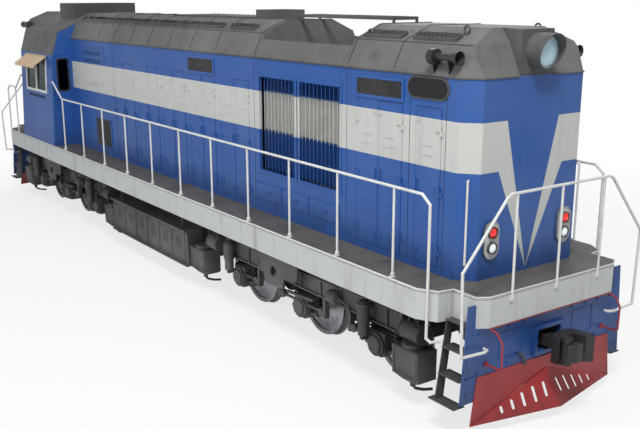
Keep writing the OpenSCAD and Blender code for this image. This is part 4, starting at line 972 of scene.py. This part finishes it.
def build_cab_trim():
    frames, seals = Shape(), Shape()
    zc, w, h = 2.944 + 0.384, 1.370, 0.768
    up = lambda s: (0, -s * math.sin(LEAN), math.cos(LEAN))
    for _, s in SIDES:
        y = s * cab_side_y(zc)
        frames.rim(rectangle(w + 0.07, h + 0.07), rectangle(w - 0.03, h - 0.03),
                   (CAB_MID, y - s * 0.012, zc), (-s, 0, 0), up(s), 0.030)
        frames.box((CAB_MID - 0.020, y - 0.018, zc - h / 2), (CAB_MID + 0.020, y + 0.018, zc + h / 2),
                   Euler((s * LEAN, 0, 0)))
        frames.box((CAB_MID - w / 2 - 0.04, y + s * 0.012 - 0.022, zc - h / 2 - 0.045),
                   (CAB_MID + w / 2 + 0.04, y + s * 0.012 + 0.022, zc - h / 2 - 0.025),
                   Euler((s * LEAN, 0, 0)))
    for t, s in ((1, -1), (-1, 1)):
        x = CAB_X[1] + 0.003 if t > 0 else CAB_X[0] - 0.003
        x_face = x - t * 0.003 if s > 0 else x
        seals.rim(rounded(0.300, 0.750, 0.090), rounded(0.240, 0.690, 0.068),
                  (x_face - t * 0.004, -s * 1.270, 3.348), (0, t, 0), (0, 0, 1), 0.016)
    piece(frames, "cab_window_frames", "frame", "rail_paint", bevel=0.003)
    piece(seals, "cab_fixed_window_seals", "frame", "seal_rubber")
    for (end, t), s in zip(ENDS, (-1, 1)):
        x = CAB_X[1] + 0.003 if t > 0 else CAB_X[0] - 0.003
        trim = Shape()
        trim.rim(rounded(0.300, 0.750, 0.090), rounded(0.236, 0.686, 0.066),
                 (x - t * 0.004, s * 1.270, 3.348), (0, t, 0), (0, 0, 1), 0.018)
        piece(trim, f"cab_door_{end}_seal", f"cab_door_{end}", "seal_rubber")
        kick = Shape()
        kick.box((min(x, x + t * 0.006), s * 1.13 if s > 0 else -1.50, 1.86),
                 (max(x, x + t * 0.006), 1.50 if s > 0 else -1.13, 1.90))
        kick.rim(rectangle(0.34, 0.78), rectangle(0.32, 0.76), (x, s * 1.31, 2.38), (0, t, 0),
                 (0, 0, 1), 0.006)
        piece(kick, f"cab_door_{end}_panel", f"cab_door_{end}", "cab_paint")
    # Black blocks for the vent slots on the cab sides: painted shade in the slots
    marks = []
    for _, s in SIDES:
        marks += [((CAB_MID - 0.50 + 0.10 * k, s * (cab_side_y(2.80) + 0.002), 2.80), (0, 0.0, 0),
                   (0.050, 0.008, 0.060))
                  for k in range(11)]
    scatter("blocks", "cab_vent_slots", marks, "frame", "shade_and_seam_black")


def build_awnings(sizes):
    """Striped canvas over each side window, with a scalloped valance and its arms."""
    arms = Shape()
    x0, x1 = CAB_MID - 0.635, CAB_MID + 0.785
    wall, edge = 1.509, 1.826
    for side, s in SIDES:
        bm = bmesh.new()
        columns = 2 * round((x1 - x0) / sizes.scallop) * 3
        slope = [(0.0, 3.765), (0.25, 3.704), (0.5, 3.648), (0.75, 3.595), (1.0, 3.548)]
        grid = []
        for i in range(columns + 1):
            u = i / columns
            x = x0 + (x1 - x0) * u
            sag = 0.010 * math.sin(math.pi * ((u * 3) % 1.0))
            row = [bm.verts.new((x, s * (wall + (edge - wall) * a),
                                 z - sag * math.sin(math.pi * a))) for a, z in slope]
            wave = abs(math.sin(math.pi * (x - x0) / sizes.scallop))
            for k in range(1, 4):
                row.append(bm.verts.new((x, s * edge, 3.548 - k / 3 * (0.036 + 0.026 * wave))))
            grid.append(row)
        for a, b in zip(grid, grid[1:]):
            for k in range(len(a) - 1):
                bm.faces.new((a[k], b[k], b[k + 1], a[k + 1]))
        bmesh.ops.recalc_face_normals(bm, faces=bm.faces[:])
        mesh = bpy.data.meshes.new(f"awning_cloth_{side}")
        bm.to_mesh(mesh)
        bm.free()
        cloth = settle(mesh, f"awning_cloth_{side}", "frame", "awning_canvas", 60.0)
        thick = cloth.modifiers.new("cloth", "SOLIDIFY")
        thick.thickness, thick.offset = 0.002, 0.0
        for x in (x0 + 0.04, x1 - 0.04):
            arms.tube([(x, s * 1.500, 3.690), (x, s * (edge - 0.010), 3.536)], 0.006, 8)
        arms.tube([(x0, s * (edge - 0.010), 3.538), (x1, s * (edge - 0.010), 3.538)], 0.007, 8)
        arms.tube([(x0, s * (wall - 0.006), 3.768), (x1, s * (wall - 0.006), 3.768)], 0.007, 8)
    frames = piece(arms, "awning_arms", "frame", "roof_gear_paint")
    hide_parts("awnings")


def build_seats():
    """Stitched cushions and backs on their posts."""
    posts = Shape()
    for y in (-0.9, 0.9):
        x = CAB_MID + 0.06
        posts.turned([(0.18, 0.0), (0.18, 0.012), (0.07, 0.035), (0.045, 0.06), (0.045, 0.44), (0.0, 0.44)],
                     (x, y, DECK_Z), (0, 0, 1), 24)
        posts.box((x - 0.16, y - 0.16, DECK_Z + 0.425), (x + 0.16, y + 0.16, DECK_Z + 0.445))
        posts.tube([(x - 0.12, y, DECK_Z + 0.44), (x - 0.20, y, DECK_Z + 0.50),
                    (x - 0.235, y, DECK_Z + 0.80)], 0.016, 10)
        for part, size, place, turn in (
                ("seat", (0.42, 0.44, 0.085), (x, y, DECK_Z + 0.488), 0.0),
                ("back", (0.085, 0.42, 0.50), (x - 0.215, y, DECK_Z + 0.82), -8.0)):
            bm = bmesh.new()
            bmesh.ops.create_cube(bm, size=1.0, matrix=Matrix.Diagonal((*size, 1.0)))
            bmesh.ops.subdivide_edges(bm, edges=bm.edges[:], cuts=5, use_grid_fill=True)
            half = Vector(size) / 2
            for vert in bm.verts:
                k = [vert.co[i] / half[i] for i in range(3)]
                thin = min(range(3), key=lambda i: size[i])
                flat = [abs(k[i]) for i in range(3) if i != thin]
                crown = (1 - flat[0] ** 2) * (1 - flat[1] ** 2)
                vert.co[thin] *= 0.70 + 0.30 * crown
                for i in range(3):
                    if i != thin:
                        vert.co[i] *= 0.94 + 0.06 * (1 - abs(k[thin])) * 0.8
            place_it = Matrix.Translation(place) @ Matrix.Rotation(math.radians(turn), 4, "Y")
            bmesh.ops.transform(bm, matrix=place_it, verts=bm.verts[:])
            mesh = bpy.data.meshes.new("cushion")
            bm.to_mesh(mesh)
            bm.free()
            name = f"{part}_cushion_{'right' if y < 0 else 'left'}"
            pad = settle(mesh, name, "frame", "seat_hide", 180.0)
            soft = pad.modifiers.new("soft", "SUBSURF")
            soft.levels = soft.render_levels = 2
    post = piece(posts, "seat_posts", "frame", "gear_paint")
    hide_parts("driver_seats")


def build_desk():
    """Dials, levers and a top for the control desk, and a cabinet grille."""
    dials, metal, black = Shape(), Shape(), Shape()
    x = CAB_X[1] - 0.25
    for k in range(5):
        y = -1.20 + 0.15 * k
        metal.turned([(0.052, 0.0), (0.052, 0.020), (0.044, 0.024), (0.0, 0.024)], (x, y, 2.665),
                     (-0.91, 0, 0.41), 20)
        dials.turned([(0.043, 0.0), (0.043, 0.004), (0.0, 0.004)], (x - 0.022, y, 2.675),
                     (-0.91, 0, 0.41), 20)
    for y in (-0.62, -0.95):
        black.tube([(CAB_X[1] - 0.42, y, 2.50), (CAB_X[1] - 0.46, y, 2.62)], 0.010, 8)
        black.turned([(0.0, -0.02), (0.018, -0.014), (0.022, 0.0), (0.018, 0.014), (0.0, 0.02)],
                     (CAB_X[1] - 0.465, y, 2.635), (0, 0, 1), 12)
    for k in range(6):
        black.box((CAB_X[1] - 0.404, 0.34, 1.95 + 0.07 * k), (CAB_X[1] - 0.398, 0.90, 1.98 + 0.07 * k))
    piece(dials, "desk_dials", "frame", "dial_face")
    piece(metal, "desk_bezels", "frame", "bare_steel")
    piece(black, "desk_levers", "frame", "seal_rubber")


# ---- roof

def roof_z(y):
    y = abs(y)
    if y <= TOP_Y:
        return TOP_Z
    if y <= KNEE_Y:
        return TOP_Z - (y - TOP_Y) * (TOP_Z - KNEE_Z) / (KNEE_Y - TOP_Y)
    return KNEE_Z - (y - KNEE_Y) * (KNEE_Z - EAVE_Z) / (HOOD_Y - KNEE_Y)


EYES = [(-4.05, 0.80), (-2.55, 0.80), (-0.75, 0.80), (0.80, 0.80), (2.35, 0.80), (5.95, 0.80), (7.55, 0.62)]
VENTS = [(-4.09, 0.64), (-3.40, 0.64), (-2.62, 0.80), (-1.78, 0.76), (-0.94, 0.76), (-0.12, 0.76),
         (0.74, 0.80), (1.59, 0.76), (2.64, 0.76), (6.21, 0.76), (7.19, 0.76)]


def build_roof():
    """Lifting eyes, strips over the roof joints, vent slats and the aerial."""
    eyes, strips = Shape(), Shape()
    for x, y in EYES:
        for s in (1, -1):
            z = roof_z(y)
            ring = [(x + 0.045 * math.cos(a), s * y, z + 0.052 + 0.045 * math.sin(a))
                    for a in [2 * math.pi * k / 18 for k in range(18)]]
            eyes.tube(ring, 0.013, 8, closed=True)
            eyes.turned([(0.034, -0.02), (0.034, 0.012), (0.020, 0.02), (0.0, 0.02)], (x, s * y, z),
                        (0, 0, 1), 12)
    for x in (-3.02, -2.20, -1.36, -0.53, 0.33, 1.20, 2.10, 3.36, 5.76, 6.70):
        path = [(x, y, roof_z(y) + 0.003) for y in (-HOOD_Y + 0.02, -KNEE_Y, -TOP_Y, TOP_Y, KNEE_Y,
                                                    HOOD_Y - 0.02)]
        strips.tube(path, 0.010, 4)
    for s in (1, -1):
        strips.tube([(-4.55, s * KNEE_Y, KNEE_Z + 0.001), (FAN_X - 1.15, s * KNEE_Y, KNEE_Z + 0.001)],
                    0.008, 6)
        strips.tube([(FAN_X + 1.15, s * KNEE_Y, KNEE_Z + 0.001), (7.90, s * KNEE_Y, KNEE_Z + 0.001)],
                    0.008, 6)
    strips.tube([(-6.10, 0.50, 4.66), (-6.10, 0.50, 4.90)], 0.010, 8)
    piece(eyes, "lifting_eyes", "frame", "roof_gear_paint")
    piece(strips, "roof_strips", "frame", "roof_gear_paint")
    slats, nuts = [], []
    # The vent slats are flat black: painted shade in the roof vents
    for x, w in VENTS:
        for s in (1, -1):
            slats += [((x - w / 2 + 0.05 + k * (w - 0.1) / 9, s * 0.759, KNEE_Z + 0.098),
                       (-s * 0.436, 0, 0), (0.030, 0.100, 0.008))
                      for k in range(10)]
    for x in [v[0] for v in VENTS]:
        for s in (1, -1):
            nuts += [((x + dx, s * 0.60, roof_z(0.60) + 0.002), (-s * 0.42, 0, 0),
                      ONE) for dx in (-0.34, 0, 0.34)]
    for k in range(15):
        nuts += [((-0.50 + 0.19 * k, s * 0.415, TOP_Z + 0.034), (0, 0, 0), ONE) for s in (1, -1)]
    scatter("blocks", "vent_slats", slats, "frame", "shade_and_seam_black")
    scatter("bolts", "roof_bolts", nuts, "frame", "roof_gear_paint",
            {"Head": 0.011, "Washer": 0.015, "Height": 0.014})


# ---- running gear

def bogie_axles(t):
    return [t * BOGIE_X + AXLE_PITCH * k for k in (-1, 0, 1)]


def build_springs(sizes):
    """Wound coil springs and dampers in place of the plain ones."""
    seat, top = AXLE_Z - 0.055, 0.84
    for end, t in ENDS:
        points = []
        body = f"bogie_{end}"
        parts = Shape()
        for x in bogie_axles(t):
            for s in (1, -1):
                for dx in (-0.25, 0.25):
                    points.append(((x + dx, s * BEAM_Y, seat + 0.016), (0, 0, 0), ONE))
                    parts.turned([(0.030, 0.0), (0.030, top - seat), (0.0, top - seat)],
                                 (x + dx, s * BEAM_Y, seat), (0, 0, 1), 12)
                    for z in (seat, top - 0.014):
                        parts.turned([(0.074, 0.0), (0.074, 0.014), (0.0, 0.014)],
                                     (x + dx, s * BEAM_Y, z), (0, 0, 1), 20)
        scatter("coils", f"coil_springs_{end}", points, body, "spring_steel",
                {"Turns": 6.0, "Radius": 0.072 - sizes.coil / 2, "Height": top - seat - 0.032,
                 "Wire": sizes.coil / 2}, 60.0)
        for dx in (-AXLE_PITCH - 0.15, AXLE_PITCH - 0.15):
            x = t * BOGIE_X + dx
            for s in (1, -1):
                y = BEAM_Y + 0.110 + 0.140
                parts.turned([(0.075, 0.663), (0.075, 0.84), (0.090, 0.845), (0.090, 1.118), (0.070, 1.130),
                              (0.070, 1.144), (0.022, 1.146), (0.022, 1.155), (0.0, 1.155)],
                              (x, s * y, 0.0), (0, 0, 1), 28)
                parts.box((x - 0.03, min(s * 1.19, s * y), 1.03), (x + 0.03, max(s * 1.19, s * y), 1.08))
                parts.box((x - 0.04, min(s * 1.26, s * (y + 0.03)), 0.593),
                          (x + 0.02, max(s * 1.26, s * (y + 0.03)), 0.665))
                for z in (0.88, 1.10):
                    parts.turned([(0.094, 0.0), (0.094, 0.014), (0.0, 0.014)], (x, s * y, z), (0, 0, 1), 28)
        gear = piece(parts, f"damper_set_{end}", body, "gear_paint")
        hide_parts(f"suspension_{end}")


def build_bogie_trim():
    """Cover bolts, ribs, brake cylinders and pipes of the bogies."""
    for end, t in ENDS:
        body = f"bogie_{end}"
        nuts, parts = [], Shape()
        for x in bogie_axles(t):
            for s in (1, -1):
                face = FACING["+y" if s > 0 else "-y"]
                nuts += [((x + 0.145 * math.cos(a), s * 1.262, AXLE_Z + 0.145 * math.sin(a)), face, ONE)
                         for a in [math.pi / 4 + math.pi / 2 * k for k in range(4)]]
                nuts += [((x + 0.100 * math.cos(a), s * 1.287, AXLE_Z + 0.100 * math.sin(a)), face,
                          (0.7, 0.7, 0.7))
                         for a in [math.pi / 3 * k for k in range(6)]]
                parts.turned([(0.125, 1.284), (0.118, 1.294), (0.05, 1.297), (0.0, 1.297)],
                             (x, 0, AXLE_Z), (0, s, 0), 28)
        for s in (1, -1):
            y = s * (BEAM_Y + 0.110)
            for k in range(9):
                x = t * BOGIE_X - 2.0 + 0.5 * k
                parts.box((x - 0.008, min(y, y + s * 0.028), 0.864), (x + 0.008, max(y, y + s * 0.028), 1.10))
            # Brake cylinder, its rod and the air pipe along the beam
            for dx in (-0.90, 0.90):
                x = t * BOGIE_X + dx
                parts.turned([(0.085, 0.0), (0.095, 0.01), (0.095, 0.20), (0.075, 0.215), (0.03, 0.22),
                              (0.03, 0.26), (0.0, 0.26)],
                             (x - 0.12, s * 1.265, 0.96), (1, 0, 0), 24)
                parts.box((x - 0.05, min(y, s * 1.19), 0.90), (x + 0.05, max(y, s * 1.19), 1.02))
                parts.tube([(x + 0.14, s * 1.265, 0.96), (x + 0.30, s * 1.25, 0.90),
                            (x + 0.33, s * 1.23, 0.78)], 0.014, 8)
            x0 = t * BOGIE_X
            parts.tube([(x0 - 2.2, s * 1.212, 1.115), (x0 - 1.0, s * 1.212, 1.115),
                        (x0 - 0.95, s * 1.212, 1.09),
                        (x0 + 0.95, s * 1.212, 1.09), (x0 + 1.0, s * 1.212, 1.115),
                        (x0 + 2.2, s * 1.212, 1.115)], 0.012, 8)
            # Traction rod outside the frame
            parts.tube([(x0 - 0.34, s * 1.235, 0.70), (x0 + 0.34, s * 1.235, 0.74)], 0.026, 12)
        piece(parts, f"bogie_fittings_{end}", body, "gear_paint")
        scatter("bolts", f"bogie_bolts_{end}", nuts, body, "gear_paint",
                {"Head": 0.015, "Washer": 0.019, "Height": 0.022})


def build_boxes():
    """Slots, latches and lids of the battery and sand boxes."""
    slots, parts = [], Shape()
    x0, pitch = -1.79 + 0.075, (1.545 + 1.79 - 0.150) / 6
    for s in (1, -1):
        for i in range(6):
            x = x0 + pitch * (i + 0.5) - 0.006
            # Black slots in the battery boxes: painted shade in the vent slots
            for dx in (-0.055, 0.055):
                slots += [((x + dx, s * 1.396, 0.66 + 0.032 * k), (0, 0, 0),
                           (0.060, 0.003, 0.014)) for k in range(7)]
            for z in (0.45, 0.90):
                parts.box((x - 0.215, min(s * 1.395, s * 1.406), z - 0.02),
                          (x - 0.165, max(s * 1.395, s * 1.406), z + 0.02))
            parts.rim(rectangle(pitch - 0.05, 0.52), rectangle(pitch - 0.07, 0.50),
                      (x, s * 1.3955, 0.68), (-s, 0, 0), (0, 0, 1), 0.005)
        for xm in SAND_X:
            parts.turned([(0.150, 0.796), (0.155, 0.800), (0.155, 0.822), (0.12, 0.836), (0.0, 0.842)],
                         (xm, s * 1.23, 0.0), (0, 0, 1), 28)
            parts.box((xm - 0.012, min(s * 1.05, s * 1.41), 0.834),
                      (xm + 0.012, max(s * 1.05, s * 1.41), 0.848))
            parts.rim(rectangle(0.44, 0.36), rectangle(0.40, 0.32), (xm, s * 1.3895, 0.57), (-s, 0, 0),
                      (0, 0, 1), 0.006)
            parts.tube([(xm, s * 1.23, 0.232), (xm + 0.02, s * 1.20, 0.19), (xm + 0.06, s * 1.10, 0.16),
                        (xm + 0.10, s * 0.98, 0.15)], 0.020, 10)
    scatter("blocks", "battery_box_slots", slots, "frame", "shade_and_seam_black")
    piece(parts, "box_fittings", "frame", "box_paint", bevel=0.001)


def build_ends():
    """Lips, brackets and pipes of the end plates, and the step treads' grips."""
    parts, red, pipes = Shape(), Shape(), Shape()
    grips = []
    for _, t in ENDS:
        x = t * (END_X - 0.075)
        parts.box((min(x, x + t * 0.010), -1.40, 0.735), (max(x, x + t * 0.010), -1.22, 0.755))
        parts.box((min(x, x + t * 0.010), 1.22, 0.735), (max(x, x + t * 0.010), 1.40, 0.755))
        for s in (1, -1):
            parts.rim(rectangle(0.40, 0.34), rectangle(0.376, 0.316), (x, s * 0.66, 1.04), (0, t, 0),
                      (0, 0, 1), 0.006)
            red.box((x, s * 1.07 - 0.03, 0.845), (x + t * 0.016, s * 1.07 + 0.03, 0.895))
            pipes.tube([(x, s * 0.50, 0.86), (x + t * 0.05, s * 0.50, 0.86), (x + t * 0.09, s * 0.50, 0.83),
                        (x + t * 0.10, s * 0.50, 0.79)], 0.020, 10)
            pipes.turned([(0.028, 0.0), (0.028, 0.035), (0.0, 0.035)], (x + t * 0.095, s * 0.50, 0.80),
                         (0, 0, -1), 14)
            for k in range(3):
                z = 0.400 + 0.330 * k + 0.0015
                y = s * (1.361 + (1.387 - z) * 0.155 - (0.06 if k == 0 else 0.09))
                grips += [((t * (8.20 + 0.05 * j), y, z), (0, 0, 0), (0.012, 0.12, 0.004)) for j in range(6)]
    piece(parts, "apron_lips", "frame", "apron_paint")
    piece(red, "rod_brackets", "frame", "signal_paint")
    piece(pipes, "brake_pipe_cocks", "frame", "gear_paint")
    scatter("blocks", "step_grips", grips, "frame", "gear_paint")


def build_deck():
    """Post sockets along the sill and its rolled upper lip."""
    lip = Shape()
    q = [(8.600, 1.120), (8.512, 1.262), (8.142, 1.262), (8.110, 1.470), (7.866, 1.605)]
    loop = [(x, y) for x, y in q] + [(-x, y) for x, y in reversed(q)]
    loop += [(-x, -y) for x, y in q] + [(x, -y) for x, y in reversed(q)]
    lip.tube([(x, y, DECK_Z - 0.006) for x, y in loop], 0.009, 8, closed=True)
    piece(lip, "sill_lip", "frame", "rail_paint")
    feet = Shape()
    for s in (1, -1):
        for i in range(11):
            x = -3.979 + 1.136 * i
            feet.box((x - 0.030, min(s * 1.53, s * 1.60), DECK_Z - 0.001),
                     (x + 0.030, max(s * 1.53, s * 1.60), DECK_Z + 0.012))
            feet.turned([(0.028, 0.0), (0.028, 0.05), (0.018, 0.062), (0.0, 0.062)],
                        (x, s * 1.556, DECK_Z), (0, 0, 1), 14)
    piece(feet, "post_feet", "frame", "rail_paint")


# ---------------------------------------------------------------- stage

CAMERA = {"place": (15.177, -8.2228, 5.0784), "yaw": 2.52964, "pitch": -0.258507, "roll": -0.003492,
          "lens": 49.21, "shift": (0.01178, 0.01903)}


def set_camera():
    data = bpy.data.cameras.new("view")
    data.sensor_width = 36.0
    data.lens = CAMERA["lens"]
    data.shift_x, data.shift_y = CAMERA["shift"]
    data.clip_end = 200.0
    camera = bpy.data.objects.new("view", data)
    bpy.context.scene.collection.objects.link(camera)
    yaw, pitch, roll = (CAMERA[k] for k in ("yaw", "pitch", "roll"))
    ahead = Vector((math.cos(pitch) * math.cos(yaw), math.cos(pitch) * math.sin(yaw), math.sin(pitch)))
    right = ahead.cross(Vector((0, 0, 1))).normalized()
    up = right.cross(ahead)
    right, up = right * math.cos(roll) + up * math.sin(roll), up * math.cos(roll) - right * math.sin(roll)
    camera.matrix_world = Matrix((
        (right.x, up.x, -ahead.x, CAMERA["place"][0]), (right.y, up.y, -ahead.y, CAMERA["place"][1]),
        (right.z, up.z, -ahead.z, CAMERA["place"][2]), (0, 0, 0, 1)))
    bpy.context.scene.camera = camera


def area_light(name, place, target, size, power, colour=(1, 1, 1)):
    data = bpy.data.lights.new(name, "AREA")
    data.shape, data.size, data.energy, data.color = "DISK", size, power, colour
    lamp = bpy.data.objects.new(name, data)
    lamp.location = place
    lamp.rotation_euler = (Vector(target) - Vector(place)).to_track_quat("-Z", "Y").to_euler()
    bpy.context.scene.collection.objects.link(lamp)


def set_stage():
    scene = bpy.context.scene
    scene.view_settings.view_transform = "Standard"
    world = bpy.data.worlds.new("studio")
    scene.world = world
    world.use_nodes = True
    tree = world.node_tree
    tree.nodes.clear()
    path = tree.nodes.new("ShaderNodeLightPath")
    lit, seen = tree.nodes.new("ShaderNodeBackground"), tree.nodes.new("ShaderNodeBackground")
    lit.inputs["Color"].default_value, lit.inputs["Strength"].default_value = (0.93, 0.96, 1.0, 1), 0.50
    seen.inputs["Color"].default_value, seen.inputs["Strength"].default_value = (1, 1, 1, 1), 1.0
    either = tree.nodes.new("ShaderNodeMath")
    either.operation = "MAXIMUM"
    tree.links.new(path.outputs["Is Camera Ray"], either.inputs[0])
    tree.links.new(path.outputs["Is Transmission Ray"], either.inputs[1])
    mix, out = tree.nodes.new("ShaderNodeMixShader"), tree.nodes.new("ShaderNodeOutputWorld")
    tree.links.new(either.outputs[0], mix.inputs[0])
    tree.links.new(lit.outputs[0], mix.inputs[1])
    tree.links.new(seen.outputs[0], mix.inputs[2])
    tree.links.new(mix.outputs[0], out.inputs[0])
    mesh = bpy.data.meshes.new("floor")
    r = 60.0
    mesh.from_pydata([(-r, -r, 0), (r, -r, 0), (r, r, 0), (-r, r, 0)], [], [(0, 1, 2, 3)])
    floor = bpy.data.objects.new("floor", mesh)
    scene.collection.objects.link(floor)
    material = bpy.data.materials.new("studio_floor")
    material.use_nodes = True
    tree = material.node_tree
    tree.nodes.clear()
    path = tree.nodes.new("ShaderNodeLightPath")
    dull, white = tree.nodes.new("ShaderNodeBsdfDiffuse"), tree.nodes.new("ShaderNodeEmission")
    dull.inputs["Color"].default_value = (0.80, 0.80, 0.80, 1)
    # The floor fades to plain white away from the locomotive
    place = tree.nodes.new("ShaderNodeTexCoord")
    reach = tree.nodes.new("ShaderNodeVectorMath")
    reach.operation = "LENGTH"
    fade = tree.nodes.new("ShaderNodeMapRange")
    for socket, value in (("From Min", 8.0), ("From Max", 15.0), ("To Min", 0.74), ("To Max", 1.0)):
        fade.inputs[socket].default_value = value
    share = tree.nodes.new("ShaderNodeMath")
    share.operation = "MULTIPLY"
    tree.links.new(place.outputs["Object"], reach.inputs[0])
    tree.links.new(reach.outputs["Value"], fade.inputs["Value"])
    tree.links.new(path.outputs["Is Camera Ray"], share.inputs[0])
    tree.links.new(fade.outputs["Result"], share.inputs[1])
    mix, out = tree.nodes.new("ShaderNodeMixShader"), tree.nodes.new("ShaderNodeOutputMaterial")
    tree.links.new(share.outputs[0], mix.inputs[0])
    tree.links.new(dull.outputs[0], mix.inputs[1])
    tree.links.new(white.outputs[0], mix.inputs[2])
    tree.links.new(mix.outputs[0], out.inputs[0])
    mesh.materials.append(material)
    area_light("key", (14.0, -7.0, 17.0), (1.0, 0.0, 2.0), 5.0, 2700)
    area_light("fill", (2.0, -22.0, 9.0), (0.0, 0.0, 2.0), 10.0, 1250, (0.96, 0.98, 1.0))
    area_light("back", (-12.0, 16.0, 14.0), (0.0, 0.0, 2.0), 8.0, 1100)


# ---------------------------------------------------------------- operators

def dress(node, finish):
    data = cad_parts[node].data
    data.materials.clear()
    data.materials.append(FINISHES[finish])


class LOCOMOTIVE_OT_stage(bpy.types.Operator):
    """Set up the floor, the lights and the camera"""

    bl_idname = "locomotive.stage"
    bl_label = "Stage"

    def execute(self, context):
        set_stage()
        set_camera()
        return {"FINISHED"}


class LOCOMOTIVE_OT_paint(bpy.types.Operator):
    """Make the finishes and give one to each packed part"""

    bl_idname = "locomotive.paint"
    bl_label = "Paint"

    def execute(self, context):
        make_finishes(context.scene.locomotive_paint)
        make_trees()
        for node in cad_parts:
            found = [k for k, heads in CAD_FINISHES.items()
                     if any(node == h or (h.endswith("_") and node.startswith(h)) for h in heads)]
            if len(found) != 1:
                raise RuntimeError(f"{node} has {len(found)} finishes")
            dress(node, found[0])
        return {"FINISHED"}


def operator(key, label, words, work):
    """An Operator class that runs one building function."""
    def execute(self, context):
        work(context)
        return {"FINISHED"}
    return type(f"LOCOMOTIVE_OT_{key}", (bpy.types.Operator,), {
        "bl_idname": f"locomotive.{key}", "bl_label": label, "__doc__": words, "execute": execute})


WORK = [
    ("grilles", "Grilles", "Add the wire grilles of the hood",
     lambda c: build_grilles(c.scene.locomotive_sizes)),
    ("radiators", "Radiators", "Fit the finned cores behind the shutters", lambda c: build_radiators()),
    ("doors", "Hood doors", "Add the rims, ribs and latches of the hood doors", lambda c: build_doors()),
    ("hood_trim", "Hood trim", "Add gutters, seams and covers to the hood", lambda c: build_hood_trim()),
    ("bolts", "Bolts", "Add the bolt heads of the hood and the end plates",
     lambda c: build_bolts(c.scene.locomotive_sizes)),
    ("lamps", "Lamps", "Add the glasses and rims of the lamps", lambda c: build_lamps()),
    ("cab_trim", "Cab trim", "Add window frames and seals to the cab", lambda c: build_cab_trim()),
    ("awnings", "Awnings", "Hang the canvas awnings", lambda c: build_awnings(c.scene.locomotive_sizes)),
    ("seats", "Seats", "Add the drivers' cushions", lambda c: build_seats()),
    ("desk", "Control desk", "Add the dials and levers of the desk", lambda c: build_desk()),
    ("roof", "Roof", "Add lifting eyes, strips and vent slats", lambda c: build_roof()),
    ("springs", "Springs", "Wind the springs and fit the dampers",
     lambda c: build_springs(c.scene.locomotive_sizes)),
    ("bogie_trim", "Bogie fittings", "Add covers, pipes and cylinders to the bogies",
     lambda c: build_bogie_trim()),
    ("boxes", "Boxes", "Add slots and lids to the boxes under the floor", lambda c: build_boxes()),
    ("ends", "Ends", "Add lips, cocks and step grips to the ends", lambda c: build_ends()),
    ("deck", "Deck", "Add the sill's lip and the posts' feet", lambda c: build_deck()),
]
BUILDERS = [operator(*row) for row in WORK]


class LOCOMOTIVE_PT_panel(bpy.types.Panel):
    """Sizes, paints and building steps of the locomotive"""

    bl_label = "Locomotive"
    bl_idname = "LOCOMOTIVE_PT_panel"
    bl_space_type = "VIEW_3D"
    bl_region_type = "UI"
    bl_category = "Locomotive"

    def draw(self, context):
        for group in (context.scene.locomotive_sizes, context.scene.locomotive_paint):
            for key in group.__annotations__:
                self.layout.prop(group, key)
        for row in [LOCOMOTIVE_OT_paint, *BUILDERS, LOCOMOTIVE_OT_stage]:
            self.layout.operator(row.bl_idname)


CLASSES = [LocomotivePaint, LocomotiveSizes, LOCOMOTIVE_OT_stage, LOCOMOTIVE_OT_paint, *BUILDERS,
           LOCOMOTIVE_PT_panel]


def register():
    for cls in CLASSES:
        bpy.utils.register_class(cls)
    bpy.types.Scene.locomotive_paint = bpy.props.PointerProperty(type=LocomotivePaint)
    bpy.types.Scene.locomotive_sizes = bpy.props.PointerProperty(type=LocomotiveSizes)


def unregister():
    del bpy.types.Scene.locomotive_paint
    del bpy.types.Scene.locomotive_sizes
    for cls in reversed(CLASSES):
        bpy.utils.unregister_class(cls)


def main():
    random.seed(7)
    register()
    bpy.ops.locomotive.stage()
    bpy.ops.locomotive.paint()
    for row in WORK:
        getattr(bpy.ops.locomotive, row[0])()


if __name__ == "__main__":
    main()
